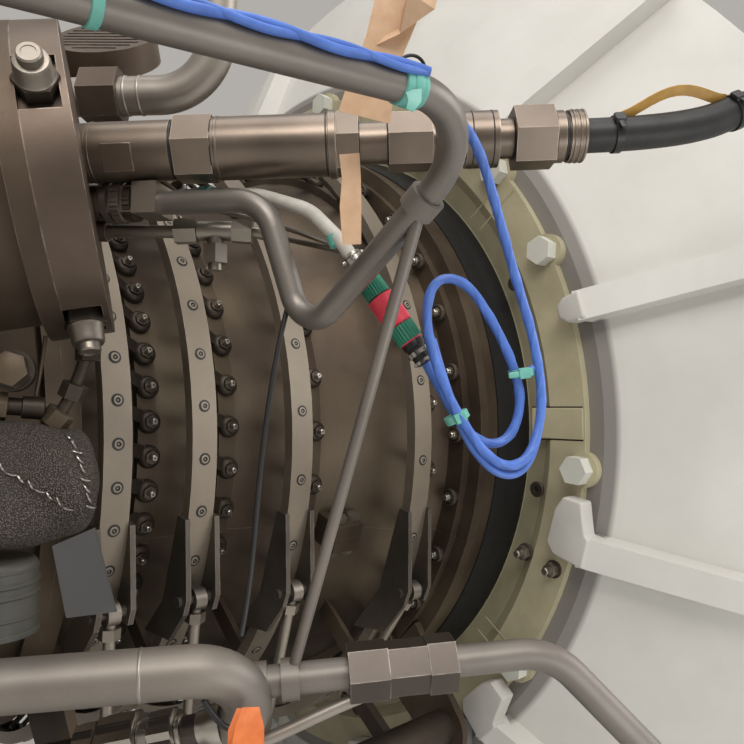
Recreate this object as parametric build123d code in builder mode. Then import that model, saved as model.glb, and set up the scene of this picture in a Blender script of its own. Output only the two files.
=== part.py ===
"""Compressor section of an industrial gas turbine, with its adjustable guide-vane gear.

Millimetres. +X runs along the turbine axis from the rear flange (x = 0) to the air intake,
+Z is up, and -Y is the side that carries the fuel valve and the push rods.
"""
from collections import namedtuple
from math import asin, atan2, cos, hypot, radians, sin, sqrt, tan
import os

from build123d import *

os.makedirs("parts", exist_ok=True)

# Compressor casing
casing_joint_x = 455
joint_flange_r = 398
joint_flange_t = 18
casing_r_rear = 352
front_flange_x = 995
front_step_r = 476
step_t = 12
front_flange_r = 498
front_flange_t = 28
drum_r_front = 494
drum_front_x = 1050
spigot_x = 1072
seal_seat_r = 490
pad_height = 9
pad_half_width = 12
bore_gap = 0.4
split_angle = -19.5
lug_top_r = 432
lug_root_r = 372
lug_length = 46
lug_t = 20
lug_bolt_at = 418
lug_bolt_r = 6
lug_bolt_pitch = 24
flange_bolt_r = 466
flange_bolt_count = 32
flange_bolt_first = 10.4
flange_washer_r = 9
flange_stud_r = 5

# Levers, nuts and guide vanes
lever_t = 4
lever_half = 9
lever_tip_half = 6
lever_lean = 20.5
lever_past_ring = 6
nut_height = 8
nut_across = 14
stud_show = 6
spindle_r = 6
spindle_bore_depth = 60
vane_chord = 52
vane_t = 7
vane_stagger = 28
hub_gap = 1.5

# Unison rings, their brackets and the push rods
ring_width = 31
ring_depth = 15
ring_skin = 4
ring_side = 3
ring_lever_gap = 0.5
ring_pad_gap = 0.3
ring_pad_width = 26
ring_pad_length = 6.5
ring_pad_count = 3
ring_pad_first = 80
pivot_rise = 20
pivot_angle = -23.5
bracket_top_angle = -11.5
bracket_t = 6
gusset_angle = -35
gusset_mid_angle = -30.5
gusset_depth = 30
pivot_pin_r = 6
pin_fit = 0.05
open_pivot_gap = 2.3
eye_r = 13
eye_width = 14
rod_r = 6.5
rod_inset = 9
rod_nut_across = 20
rod_nut_length = 12
arm_t = 12
arm_gap = 1
arm_end_r = 13

Row = namedtuple("Row", "number ring_x ring_r stem_x tip_r count first_stem arm")
rows = [
    Row(1, 500.6, 425.0, 561.7, 385.5, 58, 40.54, 41),
    Row(2, 600.0, 430.0, 667.3, 386.9, 45, 41.89, 54),
    Row(3, 720.4, 453.4, 790.2, 405.9, 34, 21.52, 70),
    Row(4, 881.8, 502.6, 949.1, 463.9, 30, 4.92, 94),
]

# Actuating shaft
shaft_centre_y = -430
shaft_centre_z = -440
actuating_shaft_r = 25
actuating_rear_x = 440
actuating_front_x = 1015
shaft_bracket_t = 11
shaft_boss_r = 42
drive_arm_x = 650
drive_arm_length = 110
drive_arm_t = 16
drive_pin_bore_r = 8

# Rotor and bearings
hub_r_rear = 268
hub_r_front = 215
rotor_r = 62
journal_r = 45
journal_fit = 0.05
bearing_r = 90
bearing_w = 46
rear_bearing_x = 400
front_bearing_x = 1170
disc_stations = [505, 614, 728, 870]
disc_rim_w = 44
disc_rim_t = 20
disc_web_t = 12
disc_hub_r = 88
disc_fit = 0.1
blade_count = 22
blade_t = 6
blade_chord = 40
blade_stagger = 35
tip_gap = 1.2
drive_flange_x = 1330
drive_flange_r = 95
drive_flange_t = 22
drive_bolt_circle = 150
drive_bolt_r = 6.5
drive_bolt_count = 8

# Centre casing and combustor cans
drum_r = 470
drum_wall = 16
drum_front = 330
rear_flange_r = 525
rear_flange_t = 28
rear_bolt_circle = 1010
rear_bolt_r = 7
rear_bolt_count = 24
rear_cover_t = 20
rear_cover_r = 490
cover_screw_circle = 960
cover_screw_r = 5
cover_screw_count = 12
diffuser_x = 425
diffuser_inner_r = 262
housing_r = 112
diffuser_strut_t = 14
can_count = 4
can_angle = 22
can_tilt = 27.5
can_face_x = 409
can_centre_r = 612
can_barrel_r = 110
can_bore_r = 98
can_flange_r = 124
can_flange_t = 16
can_cover_r = 124
can_cover_t = 33
can_length = 360
can_end_t = 14
pocket_width = 44
pocket_depth = 9
pocket_length = 28
stud_r = 8
stud_length = 34
stud_nut_across = 26
stud_nut_t = 12

# Air intake
intake_face_x = 1085
intake_flange_t = 13
intake_edge_r = 618
intake_bolt_r = 612
intake_bolt_count = 12
intake_bolt_first = -5
intake_bolt_across = 36
intake_bolt_head = 20
lobe_r = 26
seal_t = 6
seal_front_x = 1113
seal_front_r = 505.5
wall_inner_r = 585
wall_bend_r = 668
wall_outer_r = 950
wall_slope = 0.55
wall_t = 12
wall_step = 14
wall_rim = 60
rib_count = 12
rib_first = 15.5
rib_t = 42
rib_height = 42
mouth_x = 1290
strut_count = 6
strut_t = 22
strut_rear_x = 1190
strut_front_x = 1260

# Base
floor_z = -1000
beam_height = 120
beam_width = 110
beam_y = 360
beam_rear_x = -30
beam_front_x = 1200
cross_beam_w = 80
cross_beam_rear_x = 120
cross_beam_front_x = 980
support_t = 25
rear_support_top = -310
front_support_top = -455
front_support_clear_r = 563
bolt_access_r = 25

# Pipes and the fuel line, from points along their centre lines
valve_start = (405, -563, 254.5)
valve_direction = (0.7321, -0.6803, 0.0355)
balance_pipe_r = 9.5
bleed_pipe_r = 19
drain_pipe_r = 19
return_pipe_r = 12.5
seat_depth = 30
line_fit = 0.1
branch_r = 11.5
branch_length = 470
bleed_seat_r = 26
balance_seat_r = 18
pipe_fit = 0.3

# Vent on the centre casing
vent_r = 54.5
vent_t = 30
vent_neck_r = 22
vent_seat = 20
hose_r = 14
hose_end_angle = 24
hose_end_tilt = 30
hose_seat_r = 24
hose_seat_height = 11
hose_union_length = 37


def station(x):
    """Plane across the axis: local x to the valve side, y up, z to the rear."""
    return Plane(origin=(x, 0, 0), x_dir=(0, -1, 0), z_dir=(-1, 0, 0))


def polar(x, r, angle):
    """Point at a station, a radius and an angle above the valve side."""
    return Vector(x, -r * cos(radians(angle)), r * sin(radians(angle)))


def turned(points):
    """Solid of revolution about the turbine axis from (x, radius) corners."""
    with BuildPart() as body:
        with BuildSketch(Plane.XZ):
            with BuildLine():
                Polyline(*points, close=True)
            make_face()
        revolve(axis=Axis.X)
    return body.part


def on_axis(part, angle):
    """The same solid turned about the turbine axis, up on the valve side."""
    return part.rotate(Axis.X, -angle)


def along(points, x):
    """Height of a line of (x, radius) corners at a station."""
    for (x0, r0), (x1, r1) in zip(points, points[1:]):
        if x <= x1:
            return r0 + (r1 - r0) * (x - x0) / (x1 - x0)
    return points[-1][1]


def rod_between(start, end, radius):
    """Round bar from one point to another."""
    start = Vector(start)
    span = Vector(end) - start
    with BuildPart() as bar:
        with BuildSketch(Plane(origin=start, z_dir=span)):
            Circle(radius)
        extrude(amount=span.length)
    return bar.part


def hex_between(start, end, across):
    """Hexagon bar from one point to another, by its width across flats."""
    start = Vector(start)
    span = Vector(end) - start
    with BuildPart() as bar:
        with BuildSketch(Plane(origin=start, z_dir=span)):
            RegularPolygon(across / 2, 6, major_radius=False)
        extrude(amount=span.length)
    return bar.part


def bent_tube(points, radii, radius):
    """Round tube through corner points, with one bend radius for each inner corner."""
    with BuildPart() as tube:
        with BuildLine() as path:
            FilletPolyline(*points, radius=radii)
        with BuildSketch(Plane(origin=path.line @ 0, z_dir=path.line % 0)):
            Circle(radius)
        sweep()
    return tube.part


def arc_radii(points):
    """Bend radius at each inner corner of a hose or cable, from its shorter run and its turn."""
    radii = []
    for before, corner, after in zip(points, points[1:], points[2:]):
        first = corner - before
        second = after - corner
        half_turn = radians(first.get_angle(second)) / 2
        radii.append(0.45 * min(first.length, second.length) / tan(half_turn))
    return radii


def finish(part, name):
    """Name a piece and write it out."""
    part.label = name
    export_step(part, f"parts/{name}.step")


def pad_r(row):
    """Radius of the pads that carry a row's levers."""
    return row.tip_r - stud_show - nut_height - lever_t


def step_in(row):
    """Inner radius of a unison ring."""
    return row.ring_r - ring_depth

# Routes of the pipes
bleed_points = [
    Vector(345, -322, 351),
    Vector(558, -520, 358),
    Vector(545, -548, 560),
    Vector(250, -330, 560),
    Vector(250, -243, 421),
]
bleed_radii = [62, 70, 70]
bleed_out = (bleed_points[1] - bleed_points[0]).normalized()
bleed_in = (bleed_points[-1] - bleed_points[-2]).normalized()
drain_points = [
    Vector(200, -467.5, -134.9),
    Vector(200, -543, -154),
    Vector(309, -601, -149),
    Vector(497, -712, -148),
    Vector(480, -575, -330),
    Vector(475, -545, -520),
    Vector(470, -365, -720),
    Vector(470, -365, floor_z + beam_height),
]
drain_radii = [42, 60, 44, 70, 90, 90]
drain_out = (drain_points[1] - drain_points[0]).normalized()
return_points = [
    Vector(508, -684, -172),
    Vector(697, -820, -158),
    Vector(775, -885, -262),
    Vector(800, -900, -400),
    Vector(800, -880, -760),
    Vector(800, -700, -940),
    Vector(800, -beam_y - beam_width / 2, -940),
]
return_radii = [60, 90, 120, 110, 90]
branch_end = Vector(491.5, -672, -201)
branch_run = Vector(-68, 74, -23).normalized()
branch_start = branch_end + branch_run * branch_length
return_out = (return_points[1] - return_points[0]).normalized()
balance_seat = Vector(150, -591.5, 191.6)
balance_points = [
    Vector(150, -617.4, 193.8),
    Vector(150, -862.5, 214.5),
    Vector(525.2, -901.3, 227.9),
    Vector(522.2, -713.3, 98.9),
    Vector(500, -689, 209),
    Vector(455.2, -605.6, 214),
]
balance_radii = [40, 62, 24, 34]
balance_out = (balance_points[1] - balance_points[0]).normalized()

# Seats on the centre casing for the vent and the insulated valve
vent_centre = Vector(500, -385, 445)
vent_facing = Vector(-0.45, -0.48, 0.75).normalized()
vent_back = vent_centre - vent_facing * vent_t
vent_foot = Vector(392, -275, 318)
vent_rise = (vent_back - vent_foot).normalized()
jacket_foot = Vector(350, -490, -10)

# Compressor casing: pads for the lever rows outside, the bore inside
hub_line = [(casing_joint_x - 40, hub_r_rear), (front_flange_x + 60, hub_r_front)]
base_line = [(casing_joint_x + joint_flange_t, casing_r_rear)]
base_line += [(row.stem_x, pad_r(row) - pad_height) for row in rows]
base_line += [(front_flange_x, 447)]
bore_line = [(casing_joint_x, 312), (700, 330), (800, 348), (949, 402), (spigot_x, 410)]
casing_line = [
    (casing_joint_x, joint_flange_r),
    (casing_joint_x + joint_flange_t, joint_flange_r),
    base_line[0],
]
for row in rows:
    rear_edge = row.stem_x - pad_half_width
    front_edge = row.stem_x + pad_half_width
    casing_line += [
        (rear_edge, along(base_line, rear_edge)),
        (rear_edge, pad_r(row)),
        (front_edge, pad_r(row)),
        (front_edge, along(base_line, front_edge)),
    ]
casing_line += [
    base_line[-1],
    (front_flange_x, front_step_r),
    (front_flange_x + step_t, front_step_r),
    (front_flange_x + step_t, front_flange_r),
    (front_flange_x + front_flange_t, front_flange_r),
    (front_flange_x + front_flange_t, drum_r_front),
    (drum_front_x, drum_r_front),
    (drum_front_x, seal_seat_r),
    (spigot_x, seal_seat_r),
]
lug_mid_x = (rows[2].stem_x + pad_half_width + rows[3].ring_x - ring_width / 2) / 2

with BuildPart() as lug:
    with BuildSketch(Plane.XY.offset(-lug_t)):
        with Locations((lug_mid_x, -lug_root_r)):
            Rectangle(lug_length, lug_top_r - lug_root_r, align=(Align.CENTER, Align.MAX))
    extrude(amount=2 * lug_t)
    with Locations((lug_mid_x, -lug_bolt_at, lug_t)):
        with GridLocations(lug_bolt_pitch, 1, 2, 1):
            Hole(lug_bolt_r)

# Rub pads that carry the unison rings
ring_pads = []
for row in rows:
    pad_x = row.ring_x - ring_width / 2
    pad_root_r = along(base_line, pad_x) - 4
    pad_top_r = step_in(row) - ring_pad_gap
    with BuildPart() as pad_boxes:
        with Locations(station(pad_x + ring_pad_length / 2)):
            with PolarLocations(pad_top_r, ring_pad_count, ring_pad_first):
                Box(pad_top_r / 2, ring_pad_width, 2 * ring_pad_length)
    with BuildPart() as ring_pad:
        add(
            turned([
                (pad_x, pad_root_r),
                (pad_x, pad_top_r),
                (pad_x + ring_pad_length, pad_top_r),
                (pad_x + ring_pad_length, pad_root_r),
            ])
        )
        add(pad_boxes.part, mode=Mode.INTERSECT)
    ring_pads.append(ring_pad.part)

spindle_row = rows[3]
with BuildPart() as casing:
    add(turned(casing_line + bore_line[::-1]))
    for side in (0, 180):
        add(on_axis(lug.part, split_angle + side))
    for part in ring_pads:
        add(part)
    with Locations(station(spindle_row.stem_x)):
        with PolarLocations(pad_r(spindle_row), spindle_row.count, spindle_row.first_stem):
            Cylinder(
                spindle_r + pin_fit,
                2 * spindle_bore_depth,
                rotation=(0, 90, 0),
                mode=Mode.SUBTRACT,
            )

split_plane = Plane(
    origin=(0, 0, 0),
    x_dir=(1, 0, 0),
    z_dir=(0, sin(radians(split_angle)), cos(radians(split_angle))),
)
with BuildPart() as compressor_casing_top:
    add(casing.part)
    split(bisect_by=split_plane, keep=Keep.TOP)
finish(compressor_casing_top.part, "compressor_casing_top")

with BuildPart() as compressor_casing_bottom:
    add(casing.part)
    split(bisect_by=split_plane, keep=Keep.BOTTOM)
finish(compressor_casing_bottom.part, "compressor_casing_bottom")

# Bolts through the split lugs, and the front flange's studs
with BuildPart() as lug_bolt:
    Cylinder(lug_bolt_r - 0.3, 2 * lug_t + 16)
    for end in (-1, 1):
        with BuildSketch(Plane.XY.offset(end * lug_t)):
            RegularPolygon(lug_bolt_r * 1.7, 6)
        extrude(amount=9 * end)

with BuildPart() as casing_bolts:
    for side in (0, 180):
        for shift in (-lug_bolt_pitch / 2, lug_bolt_pitch / 2):
            bolt = lug_bolt.part.moved(Location((lug_mid_x + shift, -lug_bolt_at, 0)))
            add(on_axis(bolt, split_angle + side))
finish(casing_bolts.part, "casing_bolts")

with BuildPart() as flange_studs:
    with Locations(station(front_flange_x)):
        with PolarLocations(flange_bolt_r, flange_bolt_count, flange_bolt_first):
            Cylinder(flange_washer_r, 6, align=(Align.CENTER, Align.CENTER, Align.MIN))
finish(flange_studs.part, "flange_studs")

# Levers: a bent plate from its pad to under the ring, leaning along the ring
with BuildPart() as nut:
    with BuildSketch(Plane.YZ):
        RegularPolygon(nut_across / 2, 6, major_radius=False)
    extrude(amount=nut_height)

for row in rows:
    length = row.stem_x - row.ring_x + lever_past_ring
    offset_at_end = length * tan(radians(lever_lean))
    clear_r = step_in(row) - ring_lever_gap
    top = sqrt(clear_r**2 - (offset_at_end + lever_tip_half) ** 2) - pad_r(row)
    with BuildPart() as lever:
        with BuildSketch(Plane.XZ):
            with BuildLine():
                Polyline(
                    (0, -lever_half),
                    (0, lever_half),
                    (top - lever_t, length),
                    (top, length),
                    (lever_t, lever_half - 2),
                    (lever_t, -lever_half),
                    close=True,
                )
            make_face()
        extrude(amount=length, both=True)
        with BuildSketch(Plane.YZ):
            with BuildLine():
                Polyline(
                    (-lever_half, -lever_half),
                    (lever_half, -lever_half),
                    (offset_at_end + lever_tip_half, length),
                    (offset_at_end - lever_tip_half, length),
                    close=True,
                )
            make_face()
        extrude(amount=top + 1, mode=Mode.INTERSECT)
    with BuildPart() as vane_levers:
        with Locations(station(row.stem_x)):
            with PolarLocations(pad_r(row), row.count, row.first_stem):
                add(lever.part)
    finish(vane_levers.part, f"vane_levers_{row.number}")

with BuildPart() as lever_nuts:
    for row in rows:
        with Locations(station(row.stem_x)):
            with PolarLocations(pad_r(row) + lever_t, row.count, row.first_stem):
                add(nut.part)
finish(lever_nuts.part, "lever_nuts")

# Guide vanes, trimmed to the bore and the hub
annulus = turned(
    [(x, r - bore_gap) for x, r in bore_line] + [(x, r + hub_gap) for x, r in hub_line[::-1]]
)
vane_rings = []
for row in rows:
    with BuildPart() as vane:
        with BuildSketch(Plane.YZ.offset(hub_r_front)):
            with BuildLine():
                Polyline(
                    (0, -vane_chord / 2),
                    (vane_t / 2, 0),
                    (0, vane_chord / 2),
                    (-vane_t / 2, 0),
                    close=True,
                )
            make_face()
        extrude(amount=pad_r(row) - hub_r_front - pad_height)
    with BuildPart() as vane_ring:
        with Locations(station(row.stem_x)):
            with PolarLocations(0, row.count, row.first_stem):
                add(vane.part.rotate(Axis.X, vane_stagger))
        add(annulus, mode=Mode.INTERSECT)
    vane_rings.append(vane_ring.part)

with BuildPart() as guide_vanes:
    for part in vane_rings[:-1]:
        add(part)
finish(guide_vanes.part, "guide_vanes")

with BuildPart() as inlet_vanes:
    add(vane_rings[-1])
    with Locations(station(spindle_row.stem_x)):
        with PolarLocations(pad_r(spindle_row), spindle_row.count, spindle_row.first_stem):
            Cylinder(
                spindle_r,
                pad_r(spindle_row) - along(bore_line, spindle_row.stem_x) + 6,
                rotation=(0, 90, 0),
                align=(Align.CENTER, Align.CENTER, Align.MAX),
            )
finish(inlet_vanes.part, "inlet_vanes")

# Unison rings, their pivot brackets and the push rods down to the actuating shaft
shaft_centre = Vector(0, shaft_centre_y, shaft_centre_z)


def tangent_end(row):
    """Where a row's rod meets its arm, with the arm square to the rod."""
    pivot = polar(0, row.ring_r + pivot_rise, pivot_angle)
    to_shaft = shaft_centre - pivot
    span = to_shaft.length
    turn = asin(row.arm / span)
    heading = atan2(to_shaft.Z, to_shaft.Y) + turn
    reach = span * cos(turn)
    return pivot, pivot + Vector(0, reach * cos(heading), reach * sin(heading))


for row in rows:
    half = ring_width / 2
    with BuildPart() as unison_ring:
        add(
            turned([
                (row.ring_x - half, step_in(row)),
                (row.ring_x - half, row.ring_r),
                (row.ring_x + half, row.ring_r),
                (row.ring_x + half, step_in(row)),
                (row.ring_x + half - ring_side, step_in(row)),
                (row.ring_x + half - ring_side, row.ring_r - ring_skin),
                (row.ring_x - half + ring_side, row.ring_r - ring_skin),
                (row.ring_x - half + ring_side, step_in(row)),
            ])
        )
    finish(unison_ring.part, f"unison_ring_{row.number}")

    pivot, rod_end = tangent_end(row)
    pivot_r = row.ring_r + pivot_rise
    with BuildPart() as ring_bracket:
        for side in (-1, 1):
            face_x = row.ring_x + side * half
            with BuildSketch(station(face_x)) as plate:
                with BuildLine():
                    corners = [
                        polar(0, step_in(row) + 1, bracket_top_angle),
                        polar(0, row.ring_r + 4, bracket_top_angle),
                        polar(0, pivot_r + eye_r, pivot_angle + 1.2),
                        polar(0, pivot_r + eye_r, pivot_angle - 1.2),
                    ]
                    if side < 0:
                        corners.append(polar(0, pivot_r, gusset_mid_angle))
                        corners.append(polar(0, row.ring_r - gusset_depth, gusset_angle))
                    corners.append(polar(0, step_in(row) + 1, pivot_angle - 3))
                    Polyline(*[(-corner.Y, corner.Z) for corner in corners], close=True)
                make_face()
            extrude(amount=-side * bracket_t)
        pin_reach = half + bracket_t + 3
        add(
            rod_between(
                pivot + Vector(row.ring_x - pin_reach, 0, 0),
                pivot + Vector(row.ring_x + pin_reach, 0, 0),
                pivot_pin_r,
            )
        )
    finish(ring_bracket.part, f"ring_bracket_{row.number}")

    run = (rod_end - pivot).normalized()
    middle = Vector(row.ring_x, 0, 0)
    with BuildPart() as push_rod:
        bar_start = pivot + middle + run * rod_inset
        bar_end = rod_end + middle - run * rod_inset
        add(rod_between(bar_start, bar_end, rod_r))
        for share in (1, -1):
            near = pivot + run * (eye_r + 2) if share > 0 else rod_end - run * (eye_r + 2)
            add(
                hex_between(
                    near + middle, near + middle + run * share * rod_nut_length, rod_nut_across
                )
            )
        with Locations(Plane(origin=pivot + middle, z_dir=(1, 0, 0))):
            Cylinder(eye_r, eye_width)
            Cylinder(pivot_pin_r + pin_fit, 2 * eye_width, mode=Mode.SUBTRACT)
        with Locations(Plane(origin=rod_end + middle, z_dir=(1, 0, 0))):
            Cylinder(eye_r, eye_width)
            Cylinder(pivot_pin_r + open_pivot_gap, 2 * eye_width, mode=Mode.SUBTRACT)
    finish(push_rod.part, f"push_rod_{row.number}")

with BuildPart() as actuating_shaft:
    add(
        rod_between(
            shaft_centre + Vector(actuating_rear_x, 0, 0),
            shaft_centre + Vector(actuating_front_x, 0, 0),
            actuating_shaft_r,
        )
    )
    for row in rows:
        pivot, rod_end = tangent_end(row)
        arm = rod_end - shaft_centre
        arm_x = row.ring_x + eye_width / 2 + arm_gap
        with BuildSketch(Plane(origin=shaft_centre + Vector(arm_x, 0, 0), x_dir=arm, z_dir=(1, 0, 0))):
            with Locations((arm.length / 2, 0)):
                Rectangle(arm.length, 2 * arm_end_r)
            with Locations((arm.length, 0)):
                Circle(arm_end_r)
        extrude(amount=arm_t)
        add(
            rod_between(
                rod_end + Vector(row.ring_x - eye_width / 2 - 3, 0, 0),
                rod_end + Vector(arm_x + 1, 0, 0),
                pivot_pin_r,
            )
        )
    outwards = shaft_centre.normalized()
    with BuildSketch(
        Plane(origin=shaft_centre + Vector(drive_arm_x, 0, 0), x_dir=outwards, z_dir=(1, 0, 0))
    ):
        with Locations((drive_arm_length / 2, 0)):
            Rectangle(drive_arm_length, 40)
        with Locations((drive_arm_length, 0)):
            Circle(20)
            Circle(drive_pin_bore_r, mode=Mode.SUBTRACT)
    extrude(amount=drive_arm_t)
finish(actuating_shaft.part, "actuating_shaft")

# Shaft brackets: one on the casing's rear joint flange, one on its front flange
shaft_r_from_axis = hypot(shaft_centre_y, shaft_centre_z)
with BuildPart() as shaft_brackets:
    for face_x, root_r in (
        (casing_joint_x + joint_flange_t, joint_flange_r - 34),
        (front_flange_x + step_t - shaft_bracket_t, front_step_r + 1),
    ):
        with BuildSketch(
            Plane(origin=(face_x, 0, 0), x_dir=outwards, z_dir=(1, 0, 0))
        ):
            with BuildLine():
                Polyline(
                    (root_r, -60),
                    (shaft_r_from_axis, -shaft_boss_r),
                    (shaft_r_from_axis, shaft_boss_r),
                    (root_r, 60),
                    close=True,
                )
            make_face()
            with Locations((shaft_r_from_axis, 0)):
                Circle(shaft_boss_r)
                Circle(actuating_shaft_r + journal_fit, mode=Mode.SUBTRACT)
        extrude(amount=shaft_bracket_t)
finish(shaft_brackets.part, "shaft_brackets")

# Rotor: stepped shaft with its drive flange, and four bladed discs
with BuildPart() as rotor_shaft:
    add(
        turned([
            (rear_bearing_x - bearing_w, 0),
            (rear_bearing_x - bearing_w, journal_r),
            (rear_bearing_x + bearing_w / 2 + 6, journal_r),
            (rear_bearing_x + bearing_w / 2 + 12, rotor_r),
            (front_bearing_x - bearing_w / 2 - 12, rotor_r),
            (front_bearing_x - bearing_w / 2 - 6, journal_r),
            (drive_flange_x, journal_r),
            (drive_flange_x, drive_flange_r),
            (drive_flange_x + drive_flange_t, drive_flange_r),
            (drive_flange_x + drive_flange_t, 0),
        ])
    )
    with Locations(station(drive_flange_x)):
        with PolarLocations(drive_bolt_circle / 2, drive_bolt_count):
            Cylinder(drive_bolt_r, 3 * drive_flange_t, mode=Mode.SUBTRACT)
finish(rotor_shaft.part, "rotor_shaft")

disc_parts = []
for disc_x in disc_stations:
    rim_r = along(hub_line, disc_x)
    tip_r = along(bore_line, disc_x) - tip_gap
    with BuildPart() as blade:
        with BuildSketch(Plane.YZ.offset(rim_r - disc_rim_t / 2)):
            Rectangle(blade_t, blade_chord, rotation=blade_stagger)
        extrude(amount=tip_r)
    with BuildPart() as blade_ring:
        with Locations(station(disc_x)):
            with PolarLocations(0, blade_count):
                add(blade.part)
        rear_x = disc_x - blade_chord
        front_x = disc_x + blade_chord
        add(
            turned([
                (rear_x, 100),
                (front_x, 100),
                (front_x, along(bore_line, front_x) - tip_gap),
                (disc_x, tip_r),
                (rear_x, along(bore_line, rear_x) - tip_gap),
            ]),
            mode=Mode.INTERSECT,
        )
    with BuildPart() as disc:
        add(blade_ring.part)
        add(
            turned([
                (disc_x - disc_web_t * 1.5, rotor_r + disc_fit),
                (disc_x - disc_web_t * 1.5, disc_hub_r),
                (disc_x - disc_web_t / 2, disc_hub_r + 14),
                (disc_x - disc_web_t / 2, rim_r - disc_rim_t),
                (disc_x - disc_rim_w / 2, rim_r - disc_rim_t + 6),
                (disc_x - disc_rim_w / 2, rim_r),
                (disc_x + disc_rim_w / 2, rim_r),
                (disc_x + disc_rim_w / 2, rim_r - disc_rim_t + 6),
                (disc_x + disc_web_t / 2, rim_r - disc_rim_t),
                (disc_x + disc_web_t / 2, disc_hub_r + 14),
                (disc_x + disc_web_t * 1.5, disc_hub_r),
                (disc_x + disc_web_t * 1.5, rotor_r + disc_fit),
            ])
        )
    disc_parts.append(disc.part)

with BuildPart() as rotor_discs:
    for part in disc_parts:
        add(part)
finish(rotor_discs.part, "rotor_discs")

with BuildPart() as bearings:
    for bearing_x in (rear_bearing_x, front_bearing_x):
        rear_x = bearing_x - bearing_w / 2
        front_x = bearing_x + bearing_w / 2
        add(
            turned([
                (rear_x, journal_r + journal_fit),
                (rear_x, bearing_r),
                (front_x, bearing_r),
                (front_x, journal_r + journal_fit),
            ])
        )
finish(bearings.part, "bearings")

# Centre casing: drum with its rear flange, diffuser struts, rear bearing housing and can barrels
with BuildPart() as can_barrel:
    Cylinder(can_barrel_r, can_length, align=(Align.CENTER, Align.CENTER, Align.MAX))
    Cylinder(can_flange_r, can_flange_t, align=(Align.CENTER, Align.CENTER, Align.MAX))


def can_plane(angle):
    """Plane on a can's cover seat, facing out along the can."""
    tilt = radians(can_tilt)
    out = Vector(0, -cos(radians(angle)), sin(radians(angle)))
    facing = Vector(cos(tilt), 0, 0) + out * sin(tilt)
    centre = Vector(can_face_x, 0, 0) + out * can_centre_r
    across = out * cos(tilt) - Vector(sin(tilt), 0, 0)
    return Plane(origin=centre - facing * can_cover_t, x_dir=across, z_dir=facing)


can_angles = [can_angle + k * 360 / can_count for k in range(can_count)]
drum_inner = drum_r - drum_wall
with BuildPart() as centre_casing:
    add(
        turned([
            (0, drum_inner),
            (0, rear_flange_r),
            (rear_flange_t, rear_flange_r),
            (rear_flange_t, drum_r),
            (drum_front, drum_r),
            (casing_joint_x - joint_flange_t, joint_flange_r - 8),
            (casing_joint_x - joint_flange_t, joint_flange_r),
            (casing_joint_x, joint_flange_r),
            (casing_joint_x, 314),
            (diffuser_x, 318),
            (diffuser_x, joint_flange_r - 30),
            (drum_front - 6, drum_inner),
        ])
    )
    for angle in can_angles:
        add(can_barrel.part.moved(can_plane(angle).location))
    add(rod_between(bleed_points[0] - bleed_out * seat_depth, bleed_points[0], bleed_seat_r))
    add(rod_between(bleed_points[-1], bleed_points[-1] + bleed_in * seat_depth, bleed_seat_r))
    add(rod_between(drain_points[0] - drain_out * seat_depth, drain_points[0], bleed_seat_r))
    add(rod_between(balance_seat - balance_out * seat_depth, balance_seat, balance_seat_r))
    add(rod_between(vent_foot, vent_foot + vent_rise * vent_seat, vent_neck_r + 6))
    add(rod_between(jacket_foot + Vector(0, seat_depth + 20, 0), jacket_foot, 24))
    with BuildSketch(station(0)):
        Circle(drum_inner)
    extrude(amount=-(drum_front - 6), mode=Mode.SUBTRACT)
    for angle in can_angles:
        with Locations(can_plane(angle)):
            Cylinder(
                can_bore_r,
                can_length - can_end_t,
                align=(Align.CENTER, Align.CENTER, Align.MAX),
                mode=Mode.SUBTRACT,
            )
    add(
        turned([
            (casing_joint_x - 2, diffuser_inner_r),
            (diffuser_x, diffuser_inner_r),
            (rear_bearing_x - bearing_w / 2, housing_r),
            (rear_bearing_x - bearing_w / 2, bearing_r + journal_fit),
            (rear_bearing_x + bearing_w / 2, bearing_r + journal_fit),
            (rear_bearing_x + bearing_w / 2, housing_r),
            (casing_joint_x - 2, diffuser_inner_r - 16),
        ])
    )
    strut_x = (diffuser_x + casing_joint_x - 2) / 2
    with Locations(station(strut_x)):
        with PolarLocations((diffuser_inner_r + 316) / 2 - 2, strut_count, 10):
            Box(330 - diffuser_inner_r, diffuser_strut_t, casing_joint_x - 4 - diffuser_x)
    with Locations(station(0)):
        with PolarLocations(rear_bolt_circle / 2, rear_bolt_count):
            Cylinder(rear_bolt_r, 3 * rear_flange_t, mode=Mode.SUBTRACT)
finish(centre_casing.part, "centre_casing")

with BuildPart() as rear_cover:
    with BuildSketch(station(0)):
        Circle(rear_cover_r)
    extrude(amount=rear_cover_t)
    with BuildSketch(station(-rear_cover_t)):
        with PolarLocations(cover_screw_circle / 2, cover_screw_count):
            RegularPolygon(cover_screw_r * 1.8, 6)
    extrude(amount=6)
finish(rear_cover.part, "rear_cover")

# Can covers with four milled pockets on the rim, each round a radial stud
valve_from = Vector(valve_start)
valve_line = Vector(valve_direction).normalized()
block_seat = Vector(427, -558, 218)
block_line = Vector(0.6, -0.8, -0.018).normalized()
tee_seat = Vector(434, -550.5, 196)
tee_stem_end = Vector(475, -592.5, 195)
tee_line = (tee_stem_end - tee_seat).normalized()


def on_valve(distance):
    """Point on the fuel line's axis, from its seat on the first can."""
    return valve_from + valve_line * distance


def valve_piece(start, length, radius):
    """Plane and size of one round step of the fuel line."""
    return rod_between(on_valve(start), on_valve(start + length), radius)


with BuildPart() as can_cover:
    Cylinder(can_cover_r, can_cover_t, align=(Align.CENTER, Align.CENTER, Align.MIN))
    with PolarLocations(can_cover_r, 4):
        Box(
            2 * pocket_depth,
            pocket_width,
            pocket_length,
            align=(Align.CENTER, Align.CENTER, Align.MIN),
            mode=Mode.SUBTRACT,
        )

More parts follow.
